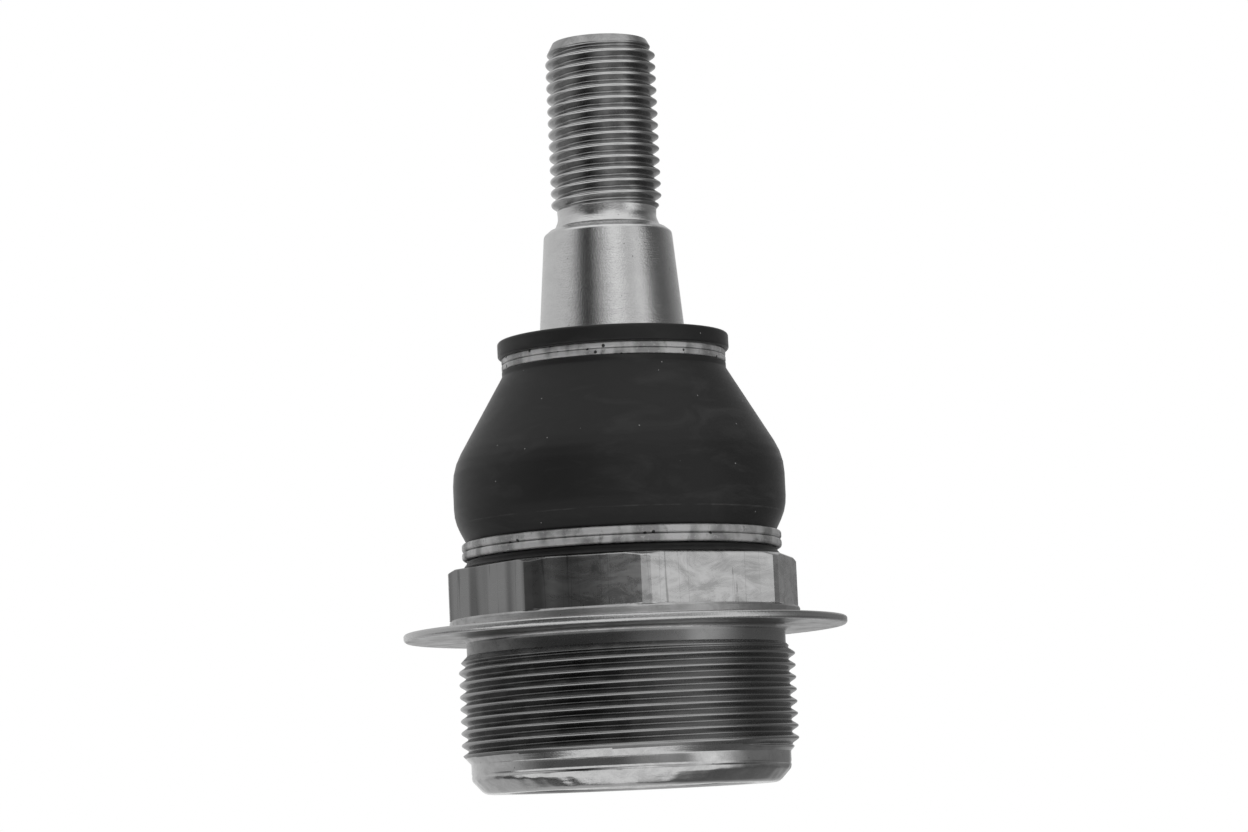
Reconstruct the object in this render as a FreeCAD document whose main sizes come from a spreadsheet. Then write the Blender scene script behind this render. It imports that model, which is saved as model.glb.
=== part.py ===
import FreeCAD, Part
import math
import os
import Sketcher

# A screw-in suspension ball joint.
# Millimetres, +Z up towards the threaded stud, origin at the centre of the ball.
# Every outline is drawn as (radius, height) in the half plane y = 0 and turned about Z.

# Driving dimensions: alias, value, what it measures.
# Each piece is placed from the one that carries it, starting at the ball.
SIZES = [
    # Ball and waist
    ("ball_radius", 13.0, "radius of the ball"),
    ("ball_flat_depth", 1.0, "how much the flat under the ball takes off"),
    ("neck_radius", 7.2, "radius of the stud's waist"),
    ("neck_fillet", 1.5, "fillet between ball and waist"),
    ("neck_blend_radius", 9.2, "radius of the flare from waist to boot seat"),
    # Bearing, spring and plate
    ("running_gap", 0.05, "between ball and bearing shells"),
    ("shell_wall", 2.9, "bearing shell at the ball's equator"),
    ("shell_fit_gap", 0.05, "between shells and housing"),
    ("shell_split_gap", 0.4, "half the gap between the two shells"),
    ("shell_rim_drop", 7.1, "from the top of the ball down to the upper shell's rim"),
    ("shell_rim_chamfer", 0.4, "chamfer inside the upper rim"),
    ("shell_hole_radius", 8.6, "opening under the ball in the lower shell"),
    ("shell_foot_rise", 1.25, "from the bottom of the ball's sphere up to the shell's foot"),
    ("shell_foot_chamfer", 0.8, "outer chamfer of the lower shell"),
    ("grease_groove_radius", 0.8, "section of the grease grooves"),
    ("spring_height", 1.8, "height of the loaded disc spring"),
    ("spring_thick", 1.0, "thickness of the disc spring"),
    ("spring_bore_gap", 0.6, "between the disc spring and the bore"),
    ("spring_ring_width", 5.8, "width of the disc spring's ring"),
    ("cover_thick", 1.8, "thickness of the plate"),
    ("cover_gap", 0.05, "between plate and counterbore"),
    ("cover_rim_step", 1.5, "how much wider the plate's counterbore is than the bore"),
    ("cover_dish_radius", 8.5, "radius of the pressed dish"),
    ("cover_dish_depth", 0.6, "depth of the pressed dish"),
    ("seal_section_radius", 0.5, "section of the seal ring"),
    ("seal_groove", 1.4, "leg of the seal's corner groove"),
    # Housing, inside
    ("seat_foot", 0.6, "height where the conical seat meets the bore"),
    ("throat_overlap", 0.5, "how much narrower the throat is than the ball"),
    ("throat_drop", 6.0, "from the top of the ball down to the throat"),
    ("throat_length", 1.2, "length of the throat"),
    ("lip_thick", 1.2, "thickness of the rolled lip under the plate"),
    ("lip_reach", 2.3, "how far the rolled lip reaches under the plate"),
    ("lip_edge", 0.4, "chamfer on the lip's free edge"),
    # Housing, outside, from its foot upwards
    ("socket_wall", 3.9, "wall between the bore and the pilot"),
    ("roll_height", 2.1, "height of the rolled-over edge"),
    ("roll_inset", 1.3, "how far the roll pulls in at the bottom"),
    ("roll_radius", 2.3, "rounding of the roll"),
    ("pilot_length", 1.75, "length of the plain pilot"),
    ("thread_lead", 1.15, "height of the thread's lead-in"),
    ("thread_depth", 1.1, "how far the thread's crests stand over the pilot"),
    ("thread_length", 12.2, "from the lead-in to the relief, shoulder included"),
    ("thread_shoulder", 0.4, "height of the slope from the thread up into the relief"),
    ("relief_depth", 1.1, "depth of the relief under the flange"),
    ("relief_length", 2.0, "height of the relief"),
    ("flange_reach", 5.8, "how far the flange stands out of the head"),
    ("flange_thick", 1.0, "thickness of the flange"),
    ("flange_edge", 0.2, "edge chamfer of the flange"),
    ("flange_root_fillet", 0.8, "fillets above and under the flange"),
    ("head_collar_height", 1.4, "round collar between flange and flats"),
    ("octagon_inset", 0.15, "how far the shallow flats lie inside the thread's crests"),
    ("octagon_step", 0.85, "how much deeper every second flat is milled"),
    ("octagon_corner", 1.05, "how far the turned corners stand over the shallow flats"),
    ("octagon_height", 6.3, "height of the flats"),
    ("octagon_chamfer", 0.7, "height of the corner chamfer at the top"),
    # Spigot that carries the boot's cuff
    ("spigot_step", 2.7, "from the deep flats in to the spigot"),
    ("spigot_wall", 1.7, "wall of the spigot at its mouth"),
    ("spigot_height", 4.2, "height of the spigot over the octagon"),
    ("spigot_bead", 0.4, "how far its bead stands out"),
    ("spigot_bead_height", 0.9, "height of its bead"),
    # Boot
    ("boot_gap", 0.1, "between the boot and the parts that carry it"),
    ("boot_wall", 1.4, "wall of the boot"),
    ("boot_cuff_wall", 1.35, "rubber between spigot and ring"),
    ("boot_cuff_proud", 0.45, "how far the cuff's edge stands out of its groove"),
    ("boot_cuff_edge", 0.75, "height of the cuff's edge under its ring"),
    ("belly_bulge", 2.05, "how far the widest band stands over the cuff's groove"),
    ("belly_rise", 0.36, "from the cuff's groove up to the lower rounding"),
    ("belly_low_round", 10.6, "outer rounding below the widest band"),
    ("belly_low_angle", 29.0, "turn of the lower rounding, in degrees"),
    ("belly_band", 1.6, "height of the widest band"),
    ("belly_high_round", 8.2, "outer rounding above the widest band"),
    ("boot_cone_angle", 30.5, "slope of the boot's cone, in degrees"),
    ("collar_land", 0.7, "from the boot's cone up to the upper ring's groove"),
    ("collar_land_proud", 0.75, "how far that land stands out of the groove"),
    ("collar_wall", 3.83, "rubber between stud and upper ring"),
    ("collar_foot_drop", 2.2, "from the groove down to the collar's underside"),
    ("lip_proud", 1.2, "how far the sealing lip stands out of the groove"),
    ("lip_height", 2.1, "thickness of the sealing lip"),
    ("lip_round", 0.35, "rounding of the sealing lip"),
    ("seal_rib_depth", 0.6, "depth of the grooves between the sealing ribs"),
    ("seal_rib_width", 0.9, "width of each sealing rib"),
    # Clamp rings
    ("lower_wire_width", 1.2, "height of the lower ring's wire"),
    ("lower_wire_thick", 1.2, "thickness of the lower ring's wire"),
    ("upper_wire_width", 0.75, "height of the upper ring's flat wire"),
    ("upper_wire_thick", 0.7, "thickness of the upper ring's flat wire"),
    ("wire_edge", 0.16, "chamfer along the wires' edges"),
    ("wire_turn_gap", 0.04, "between the two turns of a ring"),
    ("ring_gap", 0.05, "between a ring and its groove"),
    ("ring_end_angle", 22.0, "from the crossover's middle to a wire end, in degrees"),
    ("ring_jog_angle", 17.0, "half the crossover between the turns, in degrees"),
    # Stud over the boot
    ("boot_seat_run", 5.5, "length of the boot seat under the collar"),
    ("boot_seat_step", 0.15, "how far the boot seat stands proud of the cone"),
    ("lip_cover", 0.85, "how far the lip covers the cone's thick end"),
    ("cone_length", 14.05, "length of the cone"),
    ("cone_taper", 6.0, "length over which the diameter changes by one"),
    ("cone_shoulder", 1.1, "how far the cone's thin end stands over the thread"),
    ("cone_edge_round", 0.6, "rounding at the cone's thin end"),
    ("runout_depth", 0.95, "depth of the thread's run-out groove"),
    ("runout_fillet", 1.0, "fillet under the groove"),
    ("runout_length", 3.25, "from the cone's shoulder to the full thread"),
    ("stud_thread_radius", 7.0, "major radius of the stud's thread"),
    ("stud_thread_length", 18.9, "length of the full thread"),
    ("stud_tip_height", 1.9, "height of the stud's tapered tip"),
    ("stud_tip_step", 1.0, "how much the tip narrows"),
    ("centre_drill_radius", 1.25, "centre drilling in the stud's ends"),
]

ALIASES = {alias for alias, value, note in SIZES}
FLATS_OF_EACH_DEPTH = 4
GREASE_GROOVES = 4

doc = FreeCAD.newDocument("BallJoint")
sheet = doc.addObject("Spreadsheet::Sheet", "Sizes")
for row, (alias, value, note) in enumerate(SIZES, start=1):
    sheet.set(f"A{row}", alias)
    sheet.set(f"B{row}", str(value))
    sheet.setAlias(f"B{row}", alias)
    sheet.set(f"C{row}", note)
doc.recompute()


def size(text):
    """Value of a formula written with the sheet's aliases."""
    return float(sheet.evalExpression(in_sheet(text)))


def in_sheet(text):
    """The same formula with each alias pointing at the sheet."""
    words = []
    word = ""
    for letter in str(text) + " ":
        if letter.isalnum() or letter in "_.":
            word += letter
            continue
        words.append("Sizes." + word if word in ALIASES else word)
        words.append(letter)
        word = ""
    return "".join(words).strip()


# Bearing, spring, plate and the housing's foot, downwards from the ball
SHELL_SPHERE = "(ball_radius + running_gap)"
SHELL_RADIUS = f"({SHELL_SPHERE} + shell_wall)"
BORE_RADIUS = f"({SHELL_RADIUS} + shell_fit_gap)"
COUNTERBORE_RADIUS = f"({BORE_RADIUS} + cover_rim_step)"
SHELL_FOOT = f"(shell_foot_rise - {SHELL_SPHERE})"
COVER_HIGH = f"({SHELL_FOOT} - spring_height)"
COVER_LOW = f"({COVER_HIGH} - cover_thick)"
HOUSING_FOOT = f"({COVER_LOW} - lip_thick)"

# Housing's outside, upwards from its foot
ROLL_HIGH = f"({HOUSING_FOOT} + roll_height)"
PILOT_HIGH = f"({ROLL_HIGH} + pilot_length)"
THREAD_LOW = f"({PILOT_HIGH} + thread_lead)"
THREAD_HIGH = f"({THREAD_LOW} + thread_length)"
FLANGE_SEAT = f"({THREAD_HIGH} + relief_length)"
FLANGE_TOP = f"({FLANGE_SEAT} + flange_thick)"
FLATS_LOW = f"({FLANGE_TOP} + head_collar_height)"
HEAD_TOP = f"({FLATS_LOW} + octagon_height)"
SPIGOT_TOP = f"({HEAD_TOP} + spigot_height)"
PILOT_RADIUS = f"({BORE_RADIUS} + socket_wall)"
THREAD_RADIUS = f"({PILOT_RADIUS} + thread_depth)"
RELIEF_RADIUS = f"({THREAD_RADIUS} - relief_depth)"
SHALLOW_FLATS = f"({THREAD_RADIUS} - octagon_inset)"
DEEP_FLATS = f"({SHALLOW_FLATS} - octagon_step)"
HEAD_RADIUS = f"({SHALLOW_FLATS} + octagon_corner)"
FLANGE_RADIUS = f"({HEAD_RADIUS} + flange_reach)"
SPIGOT_RADIUS = f"({DEEP_FLATS} - spigot_step)"
THROAT_RADIUS = "(ball_radius - throat_overlap)"
THROAT_LOW = "(ball_radius - throat_drop)"
SHELL_RIM = "(ball_radius - shell_rim_drop)"

# Boot, upwards from its cuff; radii of the collar follow the stud
CONE_END_RADIUS = "(stud_thread_radius + cone_shoulder)"
CONE_BASE_RADIUS = f"({CONE_END_RADIUS} + cone_length / (2 * cone_taper))"
BOOT_SEAT_RADIUS = f"({CONE_BASE_RADIUS} + boot_seat_step)"
COLLAR_BORE = f"({BOOT_SEAT_RADIUS} + boot_gap)"
COLLAR_GROOVE = f"({COLLAR_BORE} + collar_wall)"
LAND_RADIUS = f"({COLLAR_GROOVE} + collar_land_proud)"
LIP_RADIUS = f"({COLLAR_GROOVE} + lip_proud)"
CUFF_LOW = f"({HEAD_TOP} + boot_gap)"
CUFF_BORE = f"({SPIGOT_RADIUS} + boot_gap)"
CUFF_GROOVE = f"({CUFF_BORE} + boot_cuff_wall)"
LOWER_GROOVE_LOW = f"({CUFF_LOW} + boot_cuff_edge)"
LOWER_GROOVE_HIGH = f"({LOWER_GROOVE_LOW} + 2 * lower_wire_width + wire_turn_gap + 2 * ring_gap)"
BELLY_RADIUS = f"({CUFF_GROOVE} + belly_bulge)"
LOW_START_R = f"({BELLY_RADIUS} - belly_low_round * (1 - cos(belly_low_angle)))"
LOW_START_Z = f"({LOWER_GROOVE_HIGH} + belly_rise)"
BELLY_LOW = f"({LOW_START_Z} + belly_low_round * sin(belly_low_angle))"
BELLY_HIGH = f"({BELLY_LOW} + belly_band)"
HIGH_END_R = f"({BELLY_RADIUS} - belly_high_round * (1 - cos(boot_cone_angle)))"
HIGH_END_Z = f"({BELLY_HIGH} + belly_high_round * sin(boot_cone_angle))"
LAND_LOW = f"({HIGH_END_Z} + ({HIGH_END_R} - {LAND_RADIUS}) / tan(boot_cone_angle))"
UPPER_GROOVE_LOW = f"({LAND_LOW} + collar_land)"
UPPER_GROOVE_HIGH = f"({UPPER_GROOVE_LOW} + 2 * upper_wire_width + wire_turn_gap + 2 * ring_gap)"
COLLAR_FOOT = f"({UPPER_GROOVE_LOW} - collar_foot_drop)"
LIP_TOP = f"({UPPER_GROOVE_HIGH} + lip_height)"

# Stud over the boot
CONE_BASE = f"({LIP_TOP} - lip_cover)"
CONE_TOP = f"({CONE_BASE} + cone_length)"
STUD_SHOULDER = f"({CONE_TOP} + cone_edge_round)"
STUD_THREAD_LOW = f"({STUD_SHOULDER} + runout_length)"
STUD_THREAD_HIGH = f"({STUD_THREAD_LOW} + stud_thread_length)"
STUD_TIP = f"({STUD_THREAD_HIGH} + stud_tip_height)"


def make_body(label):
    """A body whose label names the piece."""
    body = doc.addObject("PartDesign::Body", "body_" + label)
    body.Label = label
    return body


def base_plane(body, role):
    """One of the body's own origin planes."""
    return next(plane for plane in body.Origin.OriginFeatures if plane.Role == role)


def new_sketch(body, name, role):
    """An empty sketch on one of the body's origin planes."""
    sketch = body.newObject("Sketcher::SketchObject", name)
    sketch.AttachmentSupport = [(base_plane(body, role), "")]
    sketch.MapMode = "FlatFace"
    return sketch


def pin_point(sketch, edge, end, across, along):
    """Hold one end of an edge at a place given by two formulas."""
    for kind, text in (("DistanceX", across), ("DistanceY", along)):
        index = sketch.addConstraint(Sketcher.Constraint(kind, edge, end, size(text)))
        sketch.setExpression(f"Constraints[{index}]", in_sheet(text))


def draw_outline(sketch, corners):
    """Closed outline through corners (across, along) or (across, along, radius, side).

    A corner with a radius starts an arc to the next corner. side is 1 when the arc's
    centre lies to the left of the way from this corner to the next, and -1 when it lies
    to the right.
    """
    edges = []
    for number, corner in enumerate(corners):
        following = corners[(number + 1) % len(corners)]
        start = FreeCAD.Vector(size(corner[0]), size(corner[1]), 0)
        end = FreeCAD.Vector(size(following[0]), size(following[1]), 0)
        if len(corner) == 2:
            edges.append((sketch.addGeometry(Part.LineSegment(start, end), False), 1, 2))
            continue
        radius, side = size(corner[2]), corner[3]
        chord = end - start
        reach = math.sqrt(max(radius ** 2 - (chord.Length / 2) ** 2, 0))
        left = FreeCAD.Vector(-chord.y, chord.x, 0).normalize()
        centre = (start + end) / 2 + left * reach * side
        first, last = (start, end) if side > 0 else (end, start)
        circle = Part.Circle(centre, FreeCAD.Vector(0, 0, 1), radius)
        arc = Part.ArcOfCircle(circle, circle.parameter(first), circle.parameter(last))
        edge = sketch.addGeometry(arc, False)
        edges.append((edge, 1, 2) if side > 0 else (edge, 2, 1))
        index = sketch.addConstraint(Sketcher.Constraint("Radius", edge, radius))
        sketch.setExpression(f"Constraints[{index}]", in_sheet(corner[2]))
    for number, (edge, start, end) in enumerate(edges):
        after, after_start, _ = edges[(number + 1) % len(edges)]
        sketch.addConstraint(Sketcher.Constraint("Coincident", edge, end, after, after_start))
        pin_point(sketch, edge, start, corners[number][0], corners[number][1])


def turned_piece(label, corners):
    """A body of revolution about Z from its half outline."""
    body = make_body(label)
    sketch = new_sketch(body, label + "_outline", "XZ_Plane")
    draw_outline(sketch, corners)
    turned = body.newObject("PartDesign::Revolution", label + "_turned")
    turned.Profile = sketch
    turned.ReferenceAxis = (sketch, ["V_Axis"])
    turned.Angle = 360
    doc.recompute()
    return body


def repeat_round(body, feature, count):
    """Copies of a cut, evenly spaced about Z."""
    pattern = body.newObject("PartDesign::PolarPattern", feature.Name + "_ring")
    pattern.Originals = [feature]
    pattern.Axis = (base_axis(body), [""])
    pattern.Angle = 360
    pattern.Occurrences = count
    body.Tip = pattern
    doc.recompute()


def base_axis(body):
    """The body's own Z axis."""
    return next(axis for axis in body.Origin.OriginFeatures if axis.Role == "Z_Axis")


# Housing: head, flange, thread, pilot and rolled edge outside, the socket inside
LIP_FREE_RADIUS = f"({COUNTERBORE_RADIUS} - lip_reach)"
housing = turned_piece("housing", [
    (f"{PILOT_RADIUS} - roll_inset", HOUSING_FOOT, "roll_radius", 1),
    (PILOT_RADIUS, ROLL_HIGH),
    (PILOT_RADIUS, PILOT_HIGH),
    (THREAD_RADIUS, THREAD_LOW),
    (THREAD_RADIUS, f"{THREAD_HIGH} - thread_shoulder"),
    (RELIEF_RADIUS, THREAD_HIGH),
    (RELIEF_RADIUS, f"{FLANGE_SEAT} - flange_root_fillet", "flange_root_fillet", -1),
    (f"{RELIEF_RADIUS} + flange_root_fillet", FLANGE_SEAT),
    (f"{FLANGE_RADIUS} - flange_edge", FLANGE_SEAT),
    (FLANGE_RADIUS, f"{FLANGE_SEAT} + flange_edge"),
    (FLANGE_RADIUS, f"{FLANGE_TOP} - flange_edge"),
    (f"{FLANGE_RADIUS} - flange_edge", FLANGE_TOP),
    (f"{HEAD_RADIUS} + flange_root_fillet", FLANGE_TOP, "flange_root_fillet", -1),
    (HEAD_RADIUS, f"{FLANGE_TOP} + flange_root_fillet"),
    (HEAD_RADIUS, f"{HEAD_TOP} - octagon_chamfer"),
    (f"{HEAD_RADIUS} - octagon_chamfer * sqrt(3)", HEAD_TOP),
    (SPIGOT_RADIUS, HEAD_TOP),
    (SPIGOT_RADIUS, f"{SPIGOT_TOP} - spigot_bead_height"),
    (f"{SPIGOT_RADIUS} + spigot_bead", f"{SPIGOT_TOP} - spigot_bead_height / 2"),
    (SPIGOT_RADIUS, SPIGOT_TOP),
    (f"{SPIGOT_RADIUS} - spigot_wall", SPIGOT_TOP),
    (THROAT_RADIUS, f"{THROAT_LOW} + throat_length"),
    (THROAT_RADIUS, THROAT_LOW),
    (BORE_RADIUS, "seat_foot"),
    (BORE_RADIUS, f"{COVER_HIGH} + seal_groove"),
    (f"{BORE_RADIUS} + seal_groove", COVER_HIGH),
    (COUNTERBORE_RADIUS, COVER_HIGH),
    (COUNTERBORE_RADIUS, COVER_LOW),
    (LIP_FREE_RADIUS, COVER_LOW),
    (LIP_FREE_RADIUS, f"{HOUSING_FOOT} + lip_edge"),
    (f"{LIP_FREE_RADIUS} + lip_edge", HOUSING_FOOT),
])


def mill_flats(label, radius, turn):
    """Four flats, each milled from its lower end up to the head's top face, the first turned about Z."""
    sketch = new_sketch(housing, label + "_outline", "XY_Plane")
    sketch.setExpression("AttachmentOffset.Base.z", in_sheet(FLATS_LOW))
    sketch.AttachmentOffset.Rotation = FreeCAD.Rotation(FreeCAD.Vector(0, 0, 1), turn)
    draw_outline(sketch, [
        (radius, f"-{HEAD_RADIUS} / 2"),
        (f"{HEAD_RADIUS} + flange_root_fillet", f"-{HEAD_RADIUS} / 2"),
        (f"{HEAD_RADIUS} + flange_root_fillet", f"{HEAD_RADIUS} / 2"),
        (radius, f"{HEAD_RADIUS} / 2"),
    ])
    flat = housing.newObject("PartDesign::Pocket", label)
    flat.Profile = sketch
    flat.Reversed = True
    flat.setExpression("Length", in_sheet("octagon_height"))
    doc.recompute()
    repeat_round(housing, flat, FLATS_OF_EACH_DEPTH)


# The octagon's flats lie square to X and Y and, milled deeper, on the diagonals
mill_flats("shallow_flat", SHALLOW_FLATS, 0)
mill_flats("deep_flat", DEEP_FLATS, 45)

# Ball stud: ball, waist, boot seat, cone, run-out groove and thread
FILLET_HEIGHT = "sqrt((ball_radius + neck_fillet)^2 - (neck_radius + neck_fillet)^2)"
ON_BALL = "ball_radius / (ball_radius + neck_fillet)"
BALL_FLAT = "(ball_flat_depth - ball_radius)"
FLARE_RISE = f"({BOOT_SEAT_RADIUS} - neck_radius)"
FLARE_TOP = f"({COLLAR_FOOT} - boot_seat_run)"
FLARE_LOW = f"({FLARE_TOP} - sqrt(2 * neck_blend_radius * {FLARE_RISE} - {FLARE_RISE}^2))"
RUNOUT_RADIUS = "(stud_thread_radius - runout_depth)"
DRILL_DEPTH = "centre_drill_radius * sqrt(3)"
ball_stud = turned_piece("ball_stud", [
    ("0", f"{BALL_FLAT} + {DRILL_DEPTH}"),
    ("centre_drill_radius", BALL_FLAT),
    (f"sqrt(ball_radius^2 - {BALL_FLAT}^2)", BALL_FLAT, "ball_radius", 1),
    (f"(neck_radius + neck_fillet) * {ON_BALL}", f"{FILLET_HEIGHT} * {ON_BALL}", "neck_fillet", -1),
    ("neck_radius", FILLET_HEIGHT),
    ("neck_radius", FLARE_LOW, "neck_blend_radius", -1),
    (BOOT_SEAT_RADIUS, FLARE_TOP),
    (BOOT_SEAT_RADIUS, f"{CONE_BASE} - boot_seat_step"),
    (CONE_BASE_RADIUS, CONE_BASE),
    (CONE_END_RADIUS, CONE_TOP, "cone_edge_round", 1),
    (f"{CONE_END_RADIUS} - cone_edge_round", STUD_SHOULDER),
    (f"{RUNOUT_RADIUS} + runout_fillet", STUD_SHOULDER, "runout_fillet", -1),
    (RUNOUT_RADIUS, f"{STUD_SHOULDER} + runout_fillet"),
    ("stud_thread_radius - runout_depth / 2", f"{STUD_THREAD_LOW} - runout_depth"),
    ("stud_thread_radius", STUD_THREAD_LOW),
    ("stud_thread_radius", STUD_THREAD_HIGH),
    ("stud_thread_radius - stud_tip_step", STUD_TIP),
    ("centre_drill_radius", STUD_TIP),
    ("0", f"{STUD_TIP} - {DRILL_DEPTH}"),
])

# Bearing shells: a sphere inside, the bore and the conical seat outside
SEAT_SLOPE = f"(({BORE_RADIUS} - {THROAT_RADIUS}) / ({THROAT_LOW} - seat_foot))"
SHELL_RIM_OUTER = f"({SHELL_RADIUS} - ({SHELL_RIM} - seat_foot) * {SEAT_SLOPE})"
SHELL_RIM_INNER = f"sqrt({SHELL_SPHERE}^2 - ({SHELL_RIM} - shell_rim_chamfer)^2)"
upper_shell = turned_piece("upper_bearing_shell", [
    (f"sqrt({SHELL_SPHERE}^2 - shell_split_gap^2)", "shell_split_gap"),
    (SHELL_RADIUS, "shell_split_gap"),
    (SHELL_RADIUS, "seat_foot"),
    (SHELL_RIM_OUTER, SHELL_RIM),
    (f"{SHELL_RIM_INNER} + shell_rim_chamfer / 2", SHELL_RIM),
    (SHELL_RIM_INNER, f"{SHELL_RIM} - shell_rim_chamfer", SHELL_SPHERE, -1),
])

HOLE_EDGE = f"(-sqrt({SHELL_SPHERE}^2 - shell_hole_radius^2))"
lower_shell = turned_piece("lower_bearing_shell", [
    ("shell_hole_radius", SHELL_FOOT),
    (f"{SHELL_RADIUS} - shell_foot_chamfer", SHELL_FOOT),
    (SHELL_RADIUS, f"{SHELL_FOOT} + shell_foot_chamfer"),
    (SHELL_RADIUS, "-shell_split_gap"),
    (f"sqrt({SHELL_SPHERE}^2 - shell_split_gap^2)", "-shell_split_gap", SHELL_SPHERE, -1),
    ("shell_hole_radius", HOLE_EDGE),
])


def cut_grease_grooves(body):
    """Grooves of round section along meridians of the shell's sphere, each a half circle."""
    sketch = new_sketch(body, body.Label + "_groove_outline", "XY_Plane")
    middle = FreeCAD.Vector(size(SHELL_SPHERE), 0, 0)
    circle = Part.Circle(middle, FreeCAD.Vector(0, 0, 1), size("grease_groove_radius"))
    edge = sketch.addGeometry(circle, False)
    pin_point(sketch, edge, 3, SHELL_SPHERE, "0")
    index = sketch.addConstraint(Sketcher.Constraint("Radius", edge, size("grease_groove_radius")))
    sketch.setExpression(f"Constraints[{index}]", in_sheet("grease_groove_radius"))
    groove = body.newObject("PartDesign::Groove", body.Label + "_groove")
    groove.Profile = sketch
    groove.ReferenceAxis = (sketch, ["V_Axis"])
    groove.Angle = 180
    groove.Midplane = True
    doc.recompute()
    repeat_round(body, groove, GREASE_GROOVES)


cut_grease_grooves(upper_shell)
cut_grease_grooves(lower_shell)

# Disc spring between the lower shell and the plate: a coned washer of even thickness
SPRING_OUTER = f"({BORE_RADIUS} - spring_bore_gap)"
SPRING_INNER = f"({SPRING_OUTER} - spring_ring_width)"
turned_piece("preload_spring", [
    (SPRING_OUTER, COVER_HIGH),
    (SPRING_OUTER, f"{COVER_HIGH} + spring_thick"),
    (SPRING_INNER, SHELL_FOOT),
    (SPRING_INNER, f"{SHELL_FOOT} - spring_thick"),
])

# Plate that closes the socket, pressed outwards in the middle to clear the ball
COVER_RADIUS = f"({COUNTERBORE_RADIUS} - cover_gap)"
turned_piece("cover_plate", [
    ("0", f"{COVER_LOW} - cover_dish_depth"),
    ("cover_dish_radius", f"{COVER_LOW} - cover_dish_depth"),
    ("cover_dish_radius + cover_dish_depth", COVER_LOW),
    (COVER_RADIUS, COVER_LOW),
    (COVER_RADIUS, COVER_HIGH),
    ("cover_dish_radius + cover_dish_depth", COVER_HIGH),
    ("cover_dish_radius", f"{COVER_HIGH} - cover_dish_depth"),
    ("0", f"{COVER_HIGH} - cover_dish_depth"),
])

# Seal ring in the corner groove, resting on the plate and on the groove's slope
seal = doc.addObject("Part::Torus", "cover_seal_ring")
seal.Label = "cover_seal_ring"
SEAL_RADIUS = f"{BORE_RADIUS} + seal_groove - seal_section_radius * (1 + sqrt(2))"
seal.setExpression("Radius1", in_sheet(SEAL_RADIUS))
seal.setExpression("Radius2", in_sheet("seal_section_radius"))
seal.setExpression("Placement.Base.z", in_sheet(f"{COVER_HIGH} + seal_section_radius"))

# Boot: cuff, groove for the lower ring, belly, cone, groove for the upper ring, lip
INNER_LOW_R = f"({LOW_START_R} - boot_wall * cos(belly_low_angle))"
INNER_LOW_Z = f"({LOW_START_Z} + boot_wall * sin(belly_low_angle))"
INNER_HIGH_R = f"({HIGH_END_R} - boot_wall * cos(boot_cone_angle))"
INNER_HIGH_Z = f"({HIGH_END_Z} - boot_wall * sin(boot_cone_angle))"
INNER_NECK_R = f"({INNER_HIGH_R} - ({COLLAR_FOOT} - {INNER_HIGH_Z}) * tan(boot_cone_angle))"
RIB_ROOT = f"({COLLAR_BORE} + seal_rib_depth)"
BEAD_RECESS = f"({CUFF_BORE} + spigot_bead)"
BEAD_LOW = f"({SPIGOT_TOP} - spigot_bead_height - boot_gap)"
turned_piece("dust_boot", [
    (f"{CUFF_GROOVE} + boot_cuff_proud", CUFF_LOW),
    (f"{CUFF_GROOVE} + boot_cuff_proud", LOWER_GROOVE_LOW),
    (CUFF_GROOVE, LOWER_GROOVE_LOW),
    (CUFF_GROOVE, LOWER_GROOVE_HIGH),
    (LOW_START_R, LOWER_GROOVE_HIGH),
    (LOW_START_R, LOW_START_Z, "belly_low_round", 1),
    (BELLY_RADIUS, BELLY_LOW),
    (BELLY_RADIUS, BELLY_HIGH, "belly_high_round", 1),
    (HIGH_END_R, HIGH_END_Z),
    (LAND_RADIUS, LAND_LOW),
    (LAND_RADIUS, UPPER_GROOVE_LOW),
    (COLLAR_GROOVE, UPPER_GROOVE_LOW),
    (COLLAR_GROOVE, UPPER_GROOVE_HIGH),
    (f"{LIP_RADIUS} - lip_round", UPPER_GROOVE_HIGH, "lip_round", 1),
    (LIP_RADIUS, f"{UPPER_GROOVE_HIGH} + lip_round"),
    (LIP_RADIUS, f"{LIP_TOP} - lip_round", "lip_round", 1),
    (f"{LIP_RADIUS} - lip_round", LIP_TOP),
    (RIB_ROOT, LIP_TOP),
    (COLLAR_BORE, f"{LIP_TOP} - seal_rib_depth"),
    (COLLAR_BORE, f"{LIP_TOP} - seal_rib_depth - seal_rib_width"),
    (RIB_ROOT, f"{LIP_TOP} - 2 * seal_rib_depth - seal_rib_width"),
    (RIB_ROOT, f"{COLLAR_FOOT} + 2 * seal_rib_depth + seal_rib_width"),
    (COLLAR_BORE, f"{COLLAR_FOOT} + seal_rib_depth + seal_rib_width"),
    (COLLAR_BORE, f"{COLLAR_FOOT} + seal_rib_depth"),
    (RIB_ROOT, COLLAR_FOOT),
    (INNER_NECK_R, COLLAR_FOOT),
    (INNER_HIGH_R, INNER_HIGH_Z, "belly_high_round - boot_wall", -1),
    (f"{BELLY_RADIUS} - boot_wall", BELLY_HIGH),
    (f"{BELLY_RADIUS} - boot_wall", BELLY_LOW, "belly_low_round - boot_wall", -1),
    (INNER_LOW_R, INNER_LOW_Z),
    (BEAD_RECESS, f"{SPIGOT_TOP} + boot_gap"),
    (BEAD_RECESS, BEAD_LOW),
    (CUFF_BORE, f"{BEAD_LOW} - spigot_bead"),
    (CUFF_BORE, CUFF_LOW),
])


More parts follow.
